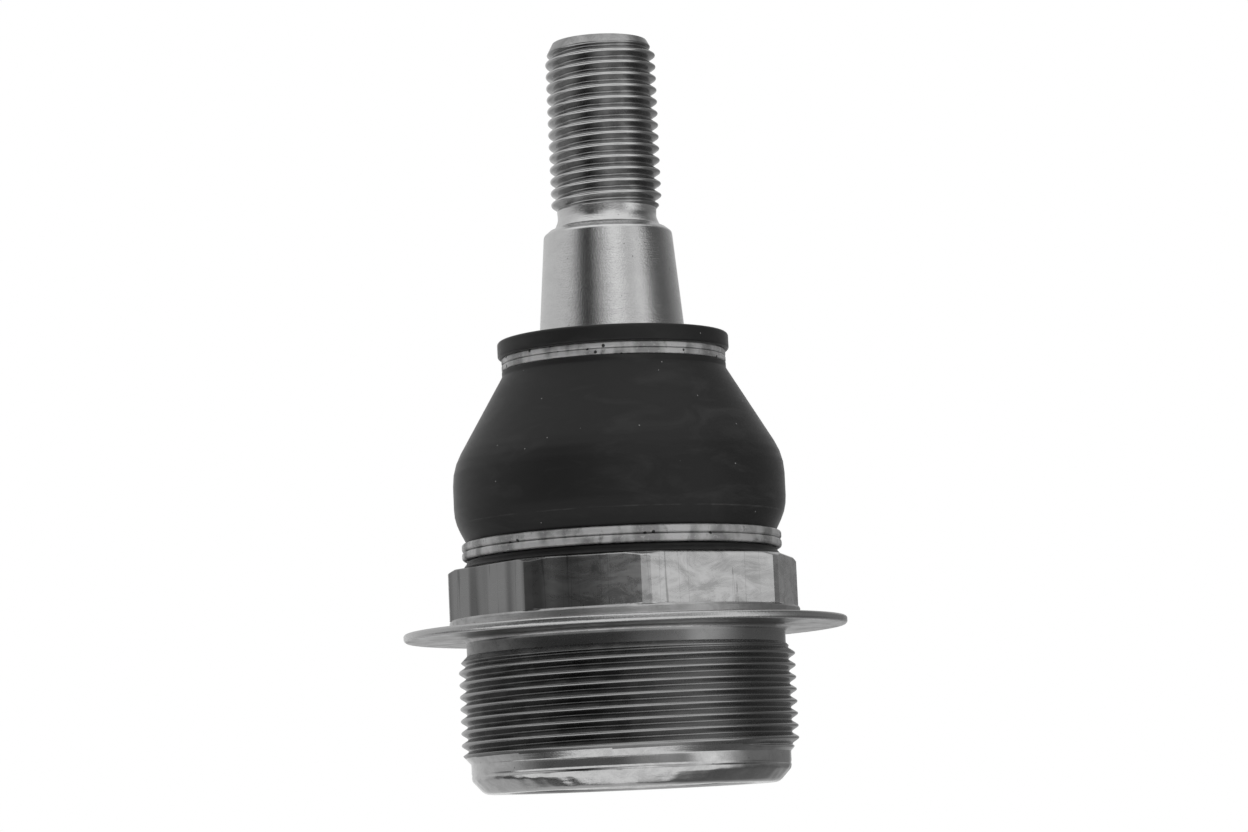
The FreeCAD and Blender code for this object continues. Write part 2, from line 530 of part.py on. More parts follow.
def wire_section(thick, width, edge):
    """Rectangle with chamfered corners about the origin, upright in the plane y = 0."""
    half_thick, half_width = thick / 2, width / 2
    quarter = [(half_thick, half_width - edge), (half_thick - edge, half_width)]
    corners = []
    for side, level in ((1, 1), (-1, 1), (-1, -1), (1, -1)):
        ordered = quarter if side * level > 0 else quarter[::-1]
        corners += [FreeCAD.Vector(side * across, 0, level * along) for across, along in ordered]
    return Part.makePolygon(corners + corners[:1])


def spring_ring(label, groove_radius, groove_low, thick, width):
    """Two flat turns of wire in a groove, joined by one short crossover at the back.

    The wire starts just past the crossover, goes round once, steps up by its own height at
    the back (+Y) and goes round again, so that its ends never meet the crossover.
    """
    radius = size(f"{groove_radius} + ring_gap + {thick} / 2")
    low = size(f"{groove_low} + ring_gap + {width} / 2")
    rise = size(f"{width} + wire_turn_gap")
    end_angle = size("ring_end_angle")
    jog_angle = size("ring_jog_angle")

    def place(degrees, height):
        turn = math.radians(degrees + 90)
        return FreeCAD.Vector(radius * math.cos(turn), radius * math.sin(turn), height)

    def heading(degrees):
        turn = math.radians(degrees + 90)
        return FreeCAD.Vector(-math.sin(turn), math.cos(turn), 0)

    def flat_turn(start, end, height):
        middle = place((start + end) / 2, height)
        return Part.Arc(place(start, height), middle, place(end, height)).toShape()

    crossover = Part.BSplineCurve()
    crossover.interpolate(
        Points=[place(-jog_angle, low), place(0, low + rise / 2), place(jog_angle, low + rise)],
        InitialTangent=heading(-jog_angle),
        FinalTangent=heading(jog_angle),
    )
    path = Part.Wire([
        flat_turn(end_angle, 360 - jog_angle, low),
        crossover.toShape(),
        flat_turn(jog_angle, 360 - end_angle, low + rise),
    ])
    upright = FreeCAD.Rotation(FreeCAD.Vector(0, 0, 1), end_angle + 90)
    section = wire_section(size(thick), size(width), size("wire_edge"))
    section.Placement = FreeCAD.Placement(place(end_angle, low), upright)
    ring = doc.addObject("Part::Feature", label)
    ring.Label = label
    ring.Shape = path.makePipeShell([section], True, False)


# Square wire holds the cuff, and a flatter one the collar
spring_ring("lower_clamp_ring", CUFF_GROOVE, LOWER_GROOVE_LOW, "lower_wire_thick", "lower_wire_width")
spring_ring("upper_clamp_ring", COLLAR_GROOVE, UPPER_GROOVE_LOW, "upper_wire_thick", "upper_wire_width")

doc.recompute()

# Every feature must have worked, and every piece must be a sound solid
for item in doc.Objects:
    for bad in ("Invalid", "Error"):
        if bad in item.State:
            raise RuntimeError(f"{item.Label} is {bad}")

kinds = ("PartDesign::Body", "Part::Torus", "Part::Feature")
pieces = [item for item in doc.Objects if item.TypeId in kinds]
os.makedirs("parts", exist_ok=True)
for piece in pieces:
    shape = piece.Shape
    if shape.isNull() or not shape.isValid() or not shape.Solids:
        raise RuntimeError(f"{piece.Label} has no sound solid")
    print(f"{piece.Label}: {len(shape.Solids)} solid, {shape.Volume:.1f} mm3")

for piece in pieces:
    piece.Shape.exportStep(f"parts/{piece.Label}.step")
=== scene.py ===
# %% [markdown]
# A suspension ball joint: a ball stud in a screwed steel housing, with a rubber boot held by two wire rings.
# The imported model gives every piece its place. This lesson dresses it: threads, boot, rings and finishes.
# Loading the frame comes first, because every length below is read from it or set against it.

# %% Load the fixed frame
import math
import bmesh
import bpy
import numpy as np
from mathutils import Matrix, Vector


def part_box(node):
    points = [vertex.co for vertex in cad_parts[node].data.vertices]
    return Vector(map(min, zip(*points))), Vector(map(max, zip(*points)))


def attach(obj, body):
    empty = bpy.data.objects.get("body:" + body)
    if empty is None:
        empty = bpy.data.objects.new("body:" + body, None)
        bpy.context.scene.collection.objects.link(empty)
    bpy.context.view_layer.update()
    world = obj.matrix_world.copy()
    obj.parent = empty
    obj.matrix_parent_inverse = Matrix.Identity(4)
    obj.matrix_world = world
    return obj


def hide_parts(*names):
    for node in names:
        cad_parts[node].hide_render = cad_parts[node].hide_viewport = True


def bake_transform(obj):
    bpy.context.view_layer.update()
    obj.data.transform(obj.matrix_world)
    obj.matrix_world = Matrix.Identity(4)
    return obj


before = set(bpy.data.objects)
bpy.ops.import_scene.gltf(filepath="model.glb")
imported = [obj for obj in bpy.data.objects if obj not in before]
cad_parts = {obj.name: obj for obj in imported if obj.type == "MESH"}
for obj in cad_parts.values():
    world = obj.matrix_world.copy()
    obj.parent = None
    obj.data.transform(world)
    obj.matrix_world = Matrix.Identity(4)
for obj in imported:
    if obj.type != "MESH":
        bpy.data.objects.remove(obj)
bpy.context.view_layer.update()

MM = 0.001


def node_box(name):
    """Lowest and highest corner of a solid, in millimetres."""
    low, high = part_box(name)
    return np.array(low) / MM, np.array(high) / MM


# %% [markdown]
# The photograph was taken with a long lens, about half a metre away and from slightly below the flange.
# Its circles are thin ellipses, and the joint leans to the left, so the camera is pitched up and rolled.
# Lens, distance, pitch and roll are worked out from those ellipses.

# %% Camera
LENS = 112.5
CAMERA_DISTANCE = 487.0
CAMERA_HEIGHT = -23.7
CAMERA_ASIDE = 1.01
CAMERA_AZIMUTH = math.radians(12.0)
CAMERA_PITCH = math.radians(6.29)
CAMERA_ROLL = math.radians(-2.58)

towards_camera = np.array([math.sin(CAMERA_AZIMUTH), -math.cos(CAMERA_AZIMUTH), 0.0])
camera_right = np.array([math.cos(CAMERA_AZIMUTH), math.sin(CAMERA_AZIMUTH), 0.0])
camera_place = towards_camera * CAMERA_DISTANCE + camera_right * CAMERA_ASIDE
camera_place[2] = CAMERA_HEIGHT

camera_data = bpy.data.cameras.new("camera")
camera_data.lens = LENS
camera_data.clip_start = 0.01
camera = bpy.data.objects.new("camera", camera_data)
bpy.context.collection.objects.link(camera)
bpy.context.scene.camera = camera
turn = Matrix.Rotation(CAMERA_AZIMUTH, 4, "Z")
tilt = Matrix.Rotation(math.pi / 2 + CAMERA_PITCH, 4, "X")
lean = Matrix.Rotation(CAMERA_ROLL, 4, "Z")
camera.matrix_world = Matrix.Translation([float(x) * MM for x in camera_place]) @ turn @ tilt @ lean
print("camera at", np.round(camera_place, 1), "mm")


# %% [markdown]
# Almost every piece here was turned on a lathe or moulded round, so it is a half outline swept about Z.
# Real edges are never perfectly sharp: a corner gets a small rounding, which catches a thin line of light.
# So an outline is a short list of corners, each with its own rounding radius. A curve tool with bevels
# would do as well, but a list of numbers shows the real dimensions at a glance.

# %% Outlines with rounded corners
DEGREES_PER_STEP = 9.0


def outline(corners, closed=True, longest=None):
    """Points along a path whose corners (across, along, rounding) become arcs.

    An arc of radius q at a corner that turns by angle t starts and ends q * tan(t / 2)
    from the corner, and its centre lies on the corner's bisector.
    """
    path = []
    count = len(corners)
    for number, (across, along, rounding) in enumerate(corners):
        here = np.array([across, along], float)
        before = np.array(corners[number - 1][:2], float) - here
        after = np.array(corners[(number + 1) % count][:2], float) - here
        if rounding <= 0 or (not closed and number in (0, count - 1)):
            path.append(here)
            continue
        before_length, after_length = np.linalg.norm(before), np.linalg.norm(after)
        before, after = before / before_length, after / after_length
        turned = math.pi - math.acos(np.clip(before @ after, -1, 1))
        reach = min(rounding * math.tan(turned / 2), 0.499 * before_length, 0.499 * after_length)
        radius = reach / math.tan(turned / 2)
        bisector = (before + after) / np.linalg.norm(before + after)
        centre = here + bisector * radius / math.cos(turned / 2)
        first, last = here + before * reach - centre, here + after * reach - centre
        steps = max(2, round(math.degrees(turned) / DEGREES_PER_STEP))
        share = np.linspace(0, 1, steps + 1)[:, None]
        arc = (np.sin((1 - share) * turned) * first + np.sin(share * turned) * last) / math.sin(turned)
        path.extend(centre + arc)
    path = np.array(path)
    if longest is None:
        return path
    return subdivided(path, longest, closed)


def subdivided(path, longest, closed):
    """The same path with every run cut into equal parts no longer than the given length."""
    ends = np.vstack([path, path[:1]]) if closed else path
    pieces = [
        np.linspace(start, end, max(1, math.ceil(np.linalg.norm(end - start) / longest)), endpoint=False)
        for start, end in zip(ends[:-1], ends[1:])
    ]
    return np.vstack(pieces if closed else pieces + [ends[-1:]])


print("rounded corners: one point every", DEGREES_PER_STEP, "degrees")

# %% [markdown]
# A mesh is a grid of points: rows follow the outline, columns go round the axis.
# Row and column numbers give every face at once, and points that coincide at a seam or pole are merged.
# Edges that turn by more than a limit stay sharp, and the rest is shaded smooth.

# %% From a grid of points to a mesh
SHARP_EDGE = math.radians(16)
MERGE_DISTANCE = 0.0008


def grid_piece(name, points, closed_rows=False, caps=False, soft_heights=()):
    """Mesh from points[row, column] in millimetres: face (i, j) joins rows i, i+1 and columns j, j+1.

    closed_rows joins the last row to the first. caps fills the first and last row with one face each.
    soft_heights are height bands (low, high) whose edges never stay sharp.
    """
    rows, columns = points.shape[:2]
    last = rows if closed_rows else rows - 1
    i, j = np.meshgrid(np.arange(last), np.arange(columns - 1), indexing="ij")
    below, above = i * columns + j, (i + 1) % rows * columns + j
    quads = np.stack([below, below + 1, above + 1, above], axis=-1).reshape(-1, 4)
    faces = quads.tolist()
    if caps:
        faces.append(list(range(columns - 2, -1, -1)))
        faces.append([(rows - 1) * columns + k for k in range(columns - 1)])
    mesh = bpy.data.meshes.new(name)
    mesh.from_pydata((points.reshape(-1, 3) * MM).tolist(), [], faces)
    body = bmesh.new()
    body.from_mesh(mesh)
    bmesh.ops.remove_doubles(body, verts=body.verts, dist=MERGE_DISTANCE * MM)
    bmesh.ops.dissolve_degenerate(body, edges=body.edges, dist=MERGE_DISTANCE * MM * 0.1)
    bmesh.ops.recalc_face_normals(body, faces=body.faces)
    open_edges = sum(1 for edge in body.edges if not edge.is_manifold)
    volume = body.calc_volume(signed=True) / MM ** 3
    body.to_mesh(mesh)
    body.free()
    mesh.shade_smooth()
    mesh.set_sharp_from_angle(angle=SHARP_EDGE)
    for low, high in soft_heights:
        soften(mesh, low, high)
    piece = bpy.data.objects.new(name, mesh)
    bpy.context.collection.objects.link(piece)
    print(f"{name}: {len(mesh.polygons)} faces, {volume:.0f} mm3, {open_edges} open edges")
    return piece


def soften(mesh, low, high):
    """Clears the sharp mark of every edge whose first end lies between two heights."""
    ends = np.empty(len(mesh.edges) * 2, dtype=np.int64)
    mesh.edges.foreach_get("vertices", ends)
    places = np.empty(len(mesh.vertices) * 3)
    mesh.vertices.foreach_get("co", places)
    height = places[2::3][ends[::2]] / MM
    marks = np.empty(len(mesh.edges), dtype=bool)
    sharp = mesh.attributes["sharp_edge"].data
    sharp.foreach_get("value", marks)
    marks[(height > low) & (height < high)] = False
    sharp.foreach_set("value", marks)


def turned(path, angles):
    """Grid of points of an outline turned about Z: (r cos a, r sin a, z)."""
    radius, height = path[:, :1], path[:, 1:]
    return around(radius * np.ones_like(angles), height * np.ones_like(angles), angles)


def around(radius, height, angles):
    """Points (r cos a, r sin a, z) for arrays of radius and height over rows and columns."""
    return np.stack([radius * np.cos(angles), radius * np.sin(angles), height], axis=-1)


def smooth_step(value):
    """0 below 0, 1 above 1, and 3 v^2 - 2 v^3 between."""
    value = np.clip(value, 0, 1)
    return value * value * (3 - 2 * value)


# %% [markdown]
# Both threads are metric with a pitch of 1.5 mm and right-handed. The solids have plain cylinders there.
# A thread is a groove whose place climbs by one pitch in a turn, so rows of the grid climb with it too.
# Every row then stays on one crest, flank or root, and the crest is a clean line all the way round.

# %% Thread
PITCH = 1.5
THREAD_DEPTH = 0.86
CREST_SHARE = 0.16
ROOT_SHARE = 0.13
CORNER_ROUNDING = 0.045
HALF_PITCH_ROWS = np.array([0.0, 0.045, 0.09, 0.15, 0.25, 0.34, 0.395, 0.44, 0.5])
ROW_PHASES = np.concatenate([HALF_PITCH_ROWS, 1 - HALF_PITCH_ROWS[-2:0:-1]])
CUT_IN = 0.09
START_STEP = 0.08


def thread_profile(phase):
    """How far the surface lies under the crest, from 0 to 1, over one pitch (phase 0 to 1).

    Straight flanks join a narrow crest at phase 0.5 to a root at phase 0 and 1: the share is
    (distance from the crest - crest / 2) / flank, and a soft minimum and maximum round its ends.
    """
    distance = np.abs(phase % 1.0 - 0.5)
    flank = 0.5 - (CREST_SHARE + ROOT_SHARE) / 2
    share = (distance - CREST_SHARE / 2) / flank
    soft = CORNER_ROUNDING / flank
    share = 0.5 * (share + np.sqrt(share ** 2 + soft ** 2))
    share = 1 - share
    share = 0.5 * (share + np.sqrt(share ** 2 + soft ** 2))
    return 1 - share


def thread_rows(low, high, crest, limits, angles, begin=-math.inf):
    """Grid rows of a thread between two heights, each climbing one pitch in a turn.

    limits are cones (radius at low end, slope) that cut the crests: r = radius + slope * (z - low).
    begin is where the cut starts, in turns along the groove from height 0 at angle 0; from there
    it deepens over a short part of a turn.
    """
    turns = np.arange(math.floor(low / PITCH) - 1, math.ceil(high / PITCH) + 1)
    starts = PITCH * (turns[:, None] + ROW_PHASES[None, :]).reshape(-1, 1)
    climb = PITCH * angles / (2 * math.pi)
    height = np.clip(starts + climb, low, high)
    phase = (height - climb) / PITCH
    along = np.round(phase) + angles / (2 * math.pi)
    depth = THREAD_DEPTH * smooth_step((along - begin) / CUT_IN)
    radius = crest - depth * thread_profile(phase)
    for at_low, slope in limits:
        radius = np.minimum(radius, at_low + slope * (height - low))
    return radius, height


print("threads: pitch", PITCH, "mm, depth", THREAD_DEPTH, "mm,", len(ROW_PHASES), "rows a turn")

# %% [markdown]
# The housing is one forging, finished on a lathe: rolled foot, plain pilot, thread, relief and thin flange.
# Its outside is counted from the lowest and highest point of its solid, and its bore from the centre of
# the ball, all in millimetres.

# %% Sizes of the housing
housing_low, housing_high = node_box("housing")
FOOT = housing_low[2]
SPIGOT_TOP = housing_high[2]
FLANGE_RADIUS = housing_high[0]
THREAD_RADIUS = 21.0
PILOT_RADIUS = 19.9
ROLL_TOP = FOOT + 2.1
PILOT_TOP = ROLL_TOP + 1.75
LEAD_IN = 1.15
THREAD_HIGH = PILOT_TOP + LEAD_IN + 12.2
FLANGE_SEAT = THREAD_HIGH + 2.0
FLANGE_TOP = FLANGE_SEAT + 1.0
FLATS_LOW = FLANGE_TOP + 1.4
HEAD_TOP = SPIGOT_TOP - 4.2
FLAT_RADII = (20.85, 20.0)
HEAD_RADIUS = 21.9
CHAMFER_SLOPE = math.sqrt(3)
CHAMFER_RADIUS = HEAD_RADIUS - 0.3 * CHAMFER_SLOPE
TOP_EDGE = 0.18
SPIGOT_RADIUS = 17.3
THREAD_START = -9 + 307 / 360
MOUTH_RADIUS = 15.6
THROAT_RADIUS = 12.5
BORE_RADIUS = 16.0
PLATE_GROOVE_RADIUS = 17.5
PLATE_GROOVE_TOP = -13.6
PLATE_GROOVE_LOW = -15.4
ROLL_BORE_RADIUS = 15.2
print("housing", round(float(SPIGOT_TOP - FOOT), 2), "mm high")
print("flange", round(float(2 * FLANGE_RADIUS), 2), "mm across")

# %% [markdown]
# The head was turned first, and then eight flats were milled, every second one deeper, so narrow turned
# lands are left at its corners. A cut with a boolean would leave ragged shading there, so the radius is
# worked out instead, and columns of the grid stand exactly on the edges of the flats.

# %% Octagon
SECTOR = math.radians(45)
COLUMNS_PER_FLAT = 30
COLUMNS_PER_LAND = 5


def flat_angles():
    """Column angles: even steps across each flat and its corner land, the edges between them exact."""
    every = []
    for number in range(8):
        edge = math.acos(FLAT_RADII[number % 2] / HEAD_RADIUS)
        next_edge = math.acos(FLAT_RADII[(number + 1) % 2] / HEAD_RADIUS)
        across = np.linspace(-edge, edge, COLUMNS_PER_FLAT, endpoint=False)
        land = np.linspace(edge, SECTOR - next_edge, COLUMNS_PER_LAND, endpoint=False)
        every.append(number * SECTOR + np.concatenate([across, land]))
    every = np.concatenate(every)
    return np.append(every, every[0] + 2 * math.pi)


def head_radius(angles):
    """Radius of the milled head: the nearest flat at R / cos(a), cut off by the turned land."""
    radius = np.full_like(angles, HEAD_RADIUS)
    for number in range(8):
        offset = (angles - number * SECTOR + math.pi) % (2 * math.pi) - math.pi
        facing = np.maximum(np.cos(offset), 0.1)
        radius = np.minimum(radius, FLAT_RADII[number % 2] / facing)
    return radius


def milled_rows(angles):
    """Rows of the octagon: up each flat, over the corner chamfer (1 up, sqrt 3 in) and in on the top face."""
    head = head_radius(angles)
    top = np.minimum(head, CHAMFER_RADIUS)
    edge = HEAD_TOP - (head - top) / CHAMFER_SLOPE
    step = np.minimum(head - top, 0.1)
    bevel = 0.3 * TOP_EDGE
    low = FLATS_LOW * np.ones_like(angles)
    rows = [
        (np.minimum(head + 0.15, HEAD_RADIUS), low),
        (head, low + 0.12),
        (head, edge - TOP_EDGE),
        (head - bevel, edge - bevel),
        (head - bevel - step, edge - bevel + step / CHAMFER_SLOPE),
        (top - TOP_EDGE, HEAD_TOP * np.ones_like(angles)),
    ]
    return around(np.stack([row[0] for row in rows]), np.stack([row[1] for row in rows]), angles)


head_angles = flat_angles()
print("octagon:", len(head_angles) - 1, "columns")

# %% [markdown]
# The foot was rolled over cold to hold the closing plate, so its skin is slightly lumpy. A few waves with
# counts that share no factor never look like a pattern, and a piece made twice comes out the same.

# %% Lumps of the rolled foot
LUMPS = ((23, 0.4, 1.1), (31, -1.3, 2.0), (41, 1.9, 0.3), (53, -0.8, 2.9), (61, 2.6, 1.7))
LUMP_HEIGHT = 0.012
LUMP_INSIDE = PILOT_RADIUS - 1.6
LUMP_FADE = 0.5


def lumps(points):
    """Pushes rows of the rolled foot in and out by a sum of waves sin(count * angle + rise * z + start)."""
    angle = np.arctan2(points[..., 1], points[..., 0])
    height = points[..., 2]
    wave = sum(np.sin(count * angle + rise * height + start) for count, rise, start in LUMPS)
    share = smooth_step((ROLL_TOP + 0.1 - height) / LUMP_FADE)
    share = share * smooth_step((height - FOOT - 0.1) / LUMP_FADE)
    radius = np.hypot(points[..., 0], points[..., 1])
    moved = 1 + LUMP_HEIGHT * share * wave * (radius > LUMP_INSIDE) / radius
    return np.stack([points[..., 0] * moved, points[..., 1] * moved, height], axis=-1)


print("lumps up to", round(len(LUMPS) * LUMP_HEIGHT, 3), "mm high")

# %% [markdown]
# The whole housing is one grid: its rows run from the foot up the outside, over the top and down the
# inside, and the last row joins the first. One closed skin has no seams that could open.

# %% Housing
def build_housing():
    """Stack of grid rows: foot and pilot, thread, relief and flange, milled head, then down the inside."""
    angles = head_angles
    foot = outline([
        (ROLL_BORE_RADIUS, FOOT + 1.2, 0.1),
        (ROLL_BORE_RADIUS, FOOT + 0.3, 0.3),
        (15.7, FOOT, 0.3),
        (18.3, FOOT, 1.3),
        (19.8, FOOT + 1.65, 1.0),
        (PILOT_RADIUS, ROLL_TOP, 0.15),
        (PILOT_RADIUS - 0.07, ROLL_TOP + 0.22, 0.3),
        (PILOT_RADIUS, ROLL_TOP + 0.5, 0.5),
        (PILOT_RADIUS, PILOT_TOP - 0.2, 0.0),
        (PILOT_RADIUS + 0.03, PILOT_TOP - 0.06, 0.0),
    ], closed=False, longest=0.5)
    flange = outline([
        (PILOT_RADIUS, THREAD_HIGH, 0.0),
        (PILOT_RADIUS, FLANGE_SEAT, 0.8),
        (FLANGE_RADIUS, FLANGE_SEAT, 0.42),
        (FLANGE_RADIUS, FLANGE_TOP, 0.3),
        (HEAD_RADIUS, FLANGE_TOP, 0.5),
        (HEAD_RADIUS, FLATS_LOW - 0.25, 0.15),
        (HEAD_RADIUS - 0.12, FLATS_LOW, 0.0),
    ], closed=False)
    inside = outline([
        (SPIGOT_RADIUS, HEAD_TOP, 0.1),
        (SPIGOT_RADIUS, SPIGOT_TOP - 0.9, 0.2),
        (SPIGOT_RADIUS + 0.4, SPIGOT_TOP - 0.45, 0.2),
        (SPIGOT_RADIUS, SPIGOT_TOP, 0.15),
        (MOUTH_RADIUS, SPIGOT_TOP, 0.15),
        (THROAT_RADIUS, 8.2, 0.15),
        (THROAT_RADIUS, 7.0, 0.15),
        (BORE_RADIUS, 0.6, 0.3),
        (BORE_RADIUS, -12.2, 0.1),
        (17.4, PLATE_GROOVE_TOP, 0.1),
        (PLATE_GROOVE_RADIUS, PLATE_GROOVE_TOP, 0.0),
        (PLATE_GROOVE_RADIUS, PLATE_GROOVE_LOW, 0.1),
        (ROLL_BORE_RADIUS, PLATE_GROOVE_LOW, 0.0),
    ], closed=False)
    limits = [
        (PILOT_RADIUS + START_STEP, (THREAD_RADIUS - PILOT_RADIUS - START_STEP) / LEAD_IN),
        (PILOT_RADIUS + THREAD_HIGH - PILOT_TOP, -1.0),
    ]
    thread = thread_rows(PILOT_TOP, THREAD_HIGH, THREAD_RADIUS, limits, angles, THREAD_START)
    points = np.concatenate([
        lumps(turned(foot, angles)),
        around(thread[0], thread[1], angles),
        turned(flange, angles),
        milled_rows(angles),
        turned(inside, angles),
    ])
    soft = [(PILOT_TOP - 0.01, THREAD_HIGH)]
    return grid_piece("housing_turned", points, closed_rows=True, soft_heights=soft)


housing = build_housing()

# %% [markdown]
# The ball stud is one piece too: ball, waist, boot seat, ground cone, run-out groove and rolled thread.
# Its outline starts and ends on the axis, so the first and last rows of the grid shrink to a point.
# The thread's top fades into a tapered tip, because the cone limit cuts its crests.

# %% Ball stud
stud_low, stud_high = node_box("ball_stud")
BALL_RADIUS = stud_high[0]
BALL_FLAT = stud_low[2]
TIP = stud_high[2]
STUD_RADIUS = 7.0
STUD_THREAD_HIGH = TIP - 1.9
STUD_THREAD_LOW = STUD_THREAD_HIGH - 18.9
RUNOUT_TOP = STUD_THREAD_LOW - 0.75
TIP_SLOPE = -1.0 / 1.9
SHOULDER = STUD_THREAD_LOW - 3.25
CONE_LENGTH = 14.05
CONE_BASE = SHOULDER - 0.6 - CONE_LENGTH
CONE_END_RADIUS = 8.1
CONE_BASE_RADIUS = CONE_END_RADIUS + CONE_LENGTH / 12
NECK_RADIUS = 7.2
BOOT_SEAT_RADIUS = CONE_BASE_RADIUS + 0.15
RUNOUT_RADIUS = 6.2
RUNOUT_SLOPE = 0.9
CENTRE_HOLE_RADIUS = 1.25
CENTRE_HOLE_DEPTH = 2.1
TIP_FACE_RADIUS = 5.85
STUD_COLUMNS = 192


def build_stud():
    """Grid rows from the flat under the ball up to the tip: (r, z) outline, thread rows, tip."""
    angles = np.linspace(0, 2 * math.pi, STUD_COLUMNS + 1)
    flat_edge = math.sqrt(BALL_RADIUS ** 2 - BALL_FLAT ** 2)
    start = math.atan2(BALL_FLAT, flat_edge)
    end = math.acos(NECK_RADIUS / BALL_RADIUS) - math.radians(4)
    turn = np.linspace(start, end, 60)[:, None]
    ball = BALL_RADIUS * np.hstack([np.cos(turn), np.sin(turn)])
    foot = np.array([(0.0, BALL_FLAT + CENTRE_HOLE_DEPTH), (CENTRE_HOLE_RADIUS, BALL_FLAT)])
    waist = outline([
        (ball[-1][0], ball[-1][1], 0.0),
        (NECK_RADIUS, ball[-1][1] + 0.9, 1.0),
        (NECK_RADIUS, 23.8, 6.0),
        (BOOT_SEAT_RADIUS, 28.2, 3.0),
        (BOOT_SEAT_RADIUS, CONE_BASE - 0.15, 0.1),
        (CONE_BASE_RADIUS, CONE_BASE, 0.1),
        (CONE_END_RADIUS, SHOULDER - 0.6, 0.6),
        (CONE_END_RADIUS - 0.75, SHOULDER, 0.25),
        (RUNOUT_RADIUS + 0.45, SHOULDER + 0.3, 0.5),
        (RUNOUT_RADIUS, SHOULDER + 1.4, 1.4),
        (RUNOUT_RADIUS + START_STEP, RUNOUT_TOP, 0.0),
    ], closed=False, longest=1.5)
    taper = STUD_RADIUS - TIP_SLOPE * (STUD_THREAD_HIGH - RUNOUT_TOP)
    limits = [(RUNOUT_RADIUS + START_STEP, RUNOUT_SLOPE), (taper, TIP_SLOPE)]
    thread = thread_rows(RUNOUT_TOP, TIP, STUD_RADIUS, limits, angles)
    tip = np.array([(TIP_FACE_RADIUS, TIP), (CENTRE_HOLE_RADIUS, TIP), (0.0, TIP - CENTRE_HOLE_DEPTH)])
    points = np.concatenate([
        turned(np.vstack([foot, ball, waist[1:]]), angles),
        around(thread[0], thread[1], angles),
        turned(tip, angles),
    ])
    soft = [(BALL_FLAT + 0.1, BALL_RADIUS), (STUD_THREAD_LOW - 0.7, TIP - 0.05)]
    return grid_piece("ball_stud_turned", points, soft_heights=soft)


stud = build_stud()

# %% [markdown]
# The boot is moulded rubber: a cuff on the spigot, a thin belly and cone, and a thick collar under a lip.
# The wall is 1.4 mm thick, and both grooves that hold the rings have square shoulders.

# %% Outline of the boot
boot_low, boot_high = node_box("dust_boot")
CUFF_LOW = boot_low[2]
LIP_TOP = boot_high[2]
BELLY_RADIUS = boot_high[0]
BOOT_ROW = 0.45
BOOT_WALL = 1.4
CONE_ANGLE = math.radians(30.5)
FLARE_ANGLE = math.radians(29.0)
CUFF_RADIUS = 19.45
CUFF_FLARE_RADIUS = 20.05
CUFF_GROOVE_RADIUS = 18.75
CUFF_GROOVE_TOP = 14.69
BELLY_FOOT_RADIUS = 19.4
LAND_RADIUS = 14.1
LAND_LOW = 35.4
COLLAR_GROOVE_RADIUS = 13.35
COLLAR_GROOVE_LOW = 36.1
COLLAR_GROOVE_TOP = 37.74
LIP_RADIUS = 14.55
COLLAR_BORE = 9.52
COLLAR_FOOT = 33.9
CUFF_BORE = 17.4
CUFF_RELIEF = 17.8


def cone_radius(height):
    """Radius of the boot's cone at a height: it widens from the collar's land downwards at its slope."""
    return LAND_RADIUS + (LAND_LOW - height) * math.tan(CONE_ANGLE)


def boot_outline():
    """Closed path: cuff, groove, belly, cone, land, groove and lip, then ribbed collar and inner wall."""
    apex = LAND_LOW - (BELLY_RADIUS - LAND_RADIUS) / math.tan(CONE_ANGLE)
    rib = COLLAR_BORE + 0.6
    return outline([
        (CUFF_FLARE_RADIUS, CUFF_LOW, 0.12),
        (CUFF_RADIUS, CUFF_LOW + 0.7, 0.3),
        (CUFF_RADIUS, CUFF_LOW + 1.0, 0.1),
        (CUFF_GROOVE_RADIUS, CUFF_LOW + 1.0, 0.05),
        (CUFF_GROOVE_RADIUS, CUFF_GROOVE_TOP, 0.05),
        (BELLY_FOOT_RADIUS, CUFF_GROOVE_TOP + 0.03, 0.15),
        (BELLY_RADIUS, 14.95 + (BELLY_RADIUS - BELLY_FOOT_RADIUS) / math.tan(FLARE_ANGLE), 11.0),
        (BELLY_RADIUS, apex, 8.0),
        (LAND_RADIUS, LAND_LOW, 0.5),
        (LAND_RADIUS, COLLAR_GROOVE_LOW, 0.12),
        (COLLAR_GROOVE_RADIUS, COLLAR_GROOVE_LOW, 0.05),
        (COLLAR_GROOVE_RADIUS, COLLAR_GROOVE_TOP, 0.05),
        (LIP_RADIUS, COLLAR_GROOVE_TOP, 0.35),
        (LIP_RADIUS, LIP_TOP, 0.4),
        (rib + 0.3, LIP_TOP, 0.3),
        (COLLAR_BORE, LIP_TOP - 0.7, 0.2),
        (COLLAR_BORE, LIP_TOP - 1.5, 0.2),
        (rib, LIP_TOP - 2.1, 0.2),
        (rib, COLLAR_FOOT + 2.1, 0.2),
        (COLLAR_BORE, COLLAR_FOOT + 1.5, 0.2),
        (COLLAR_BORE, COLLAR_FOOT + 0.6, 0.2),
        (rib, COLLAR_FOOT, 0.1),
        (cone_radius(COLLAR_FOOT) - BOOT_WALL / math.cos(CONE_ANGLE), COLLAR_FOOT, 0.3),
        (BELLY_RADIUS - BOOT_WALL, apex - 0.4, 6.5),
        (BELLY_RADIUS - BOOT_WALL, 17.9, 8.0),
        (CUFF_RELIEF, 15.6, 0.0),
        (CUFF_RELIEF, 14.5, 0.0),
        (CUFF_BORE, 14.1, 0.0),
        (CUFF_BORE, CUFF_LOW, 0.1),
    ], longest=BOOT_ROW)


boot_path = boot_outline()
print("boot outline:", len(boot_path), "points")

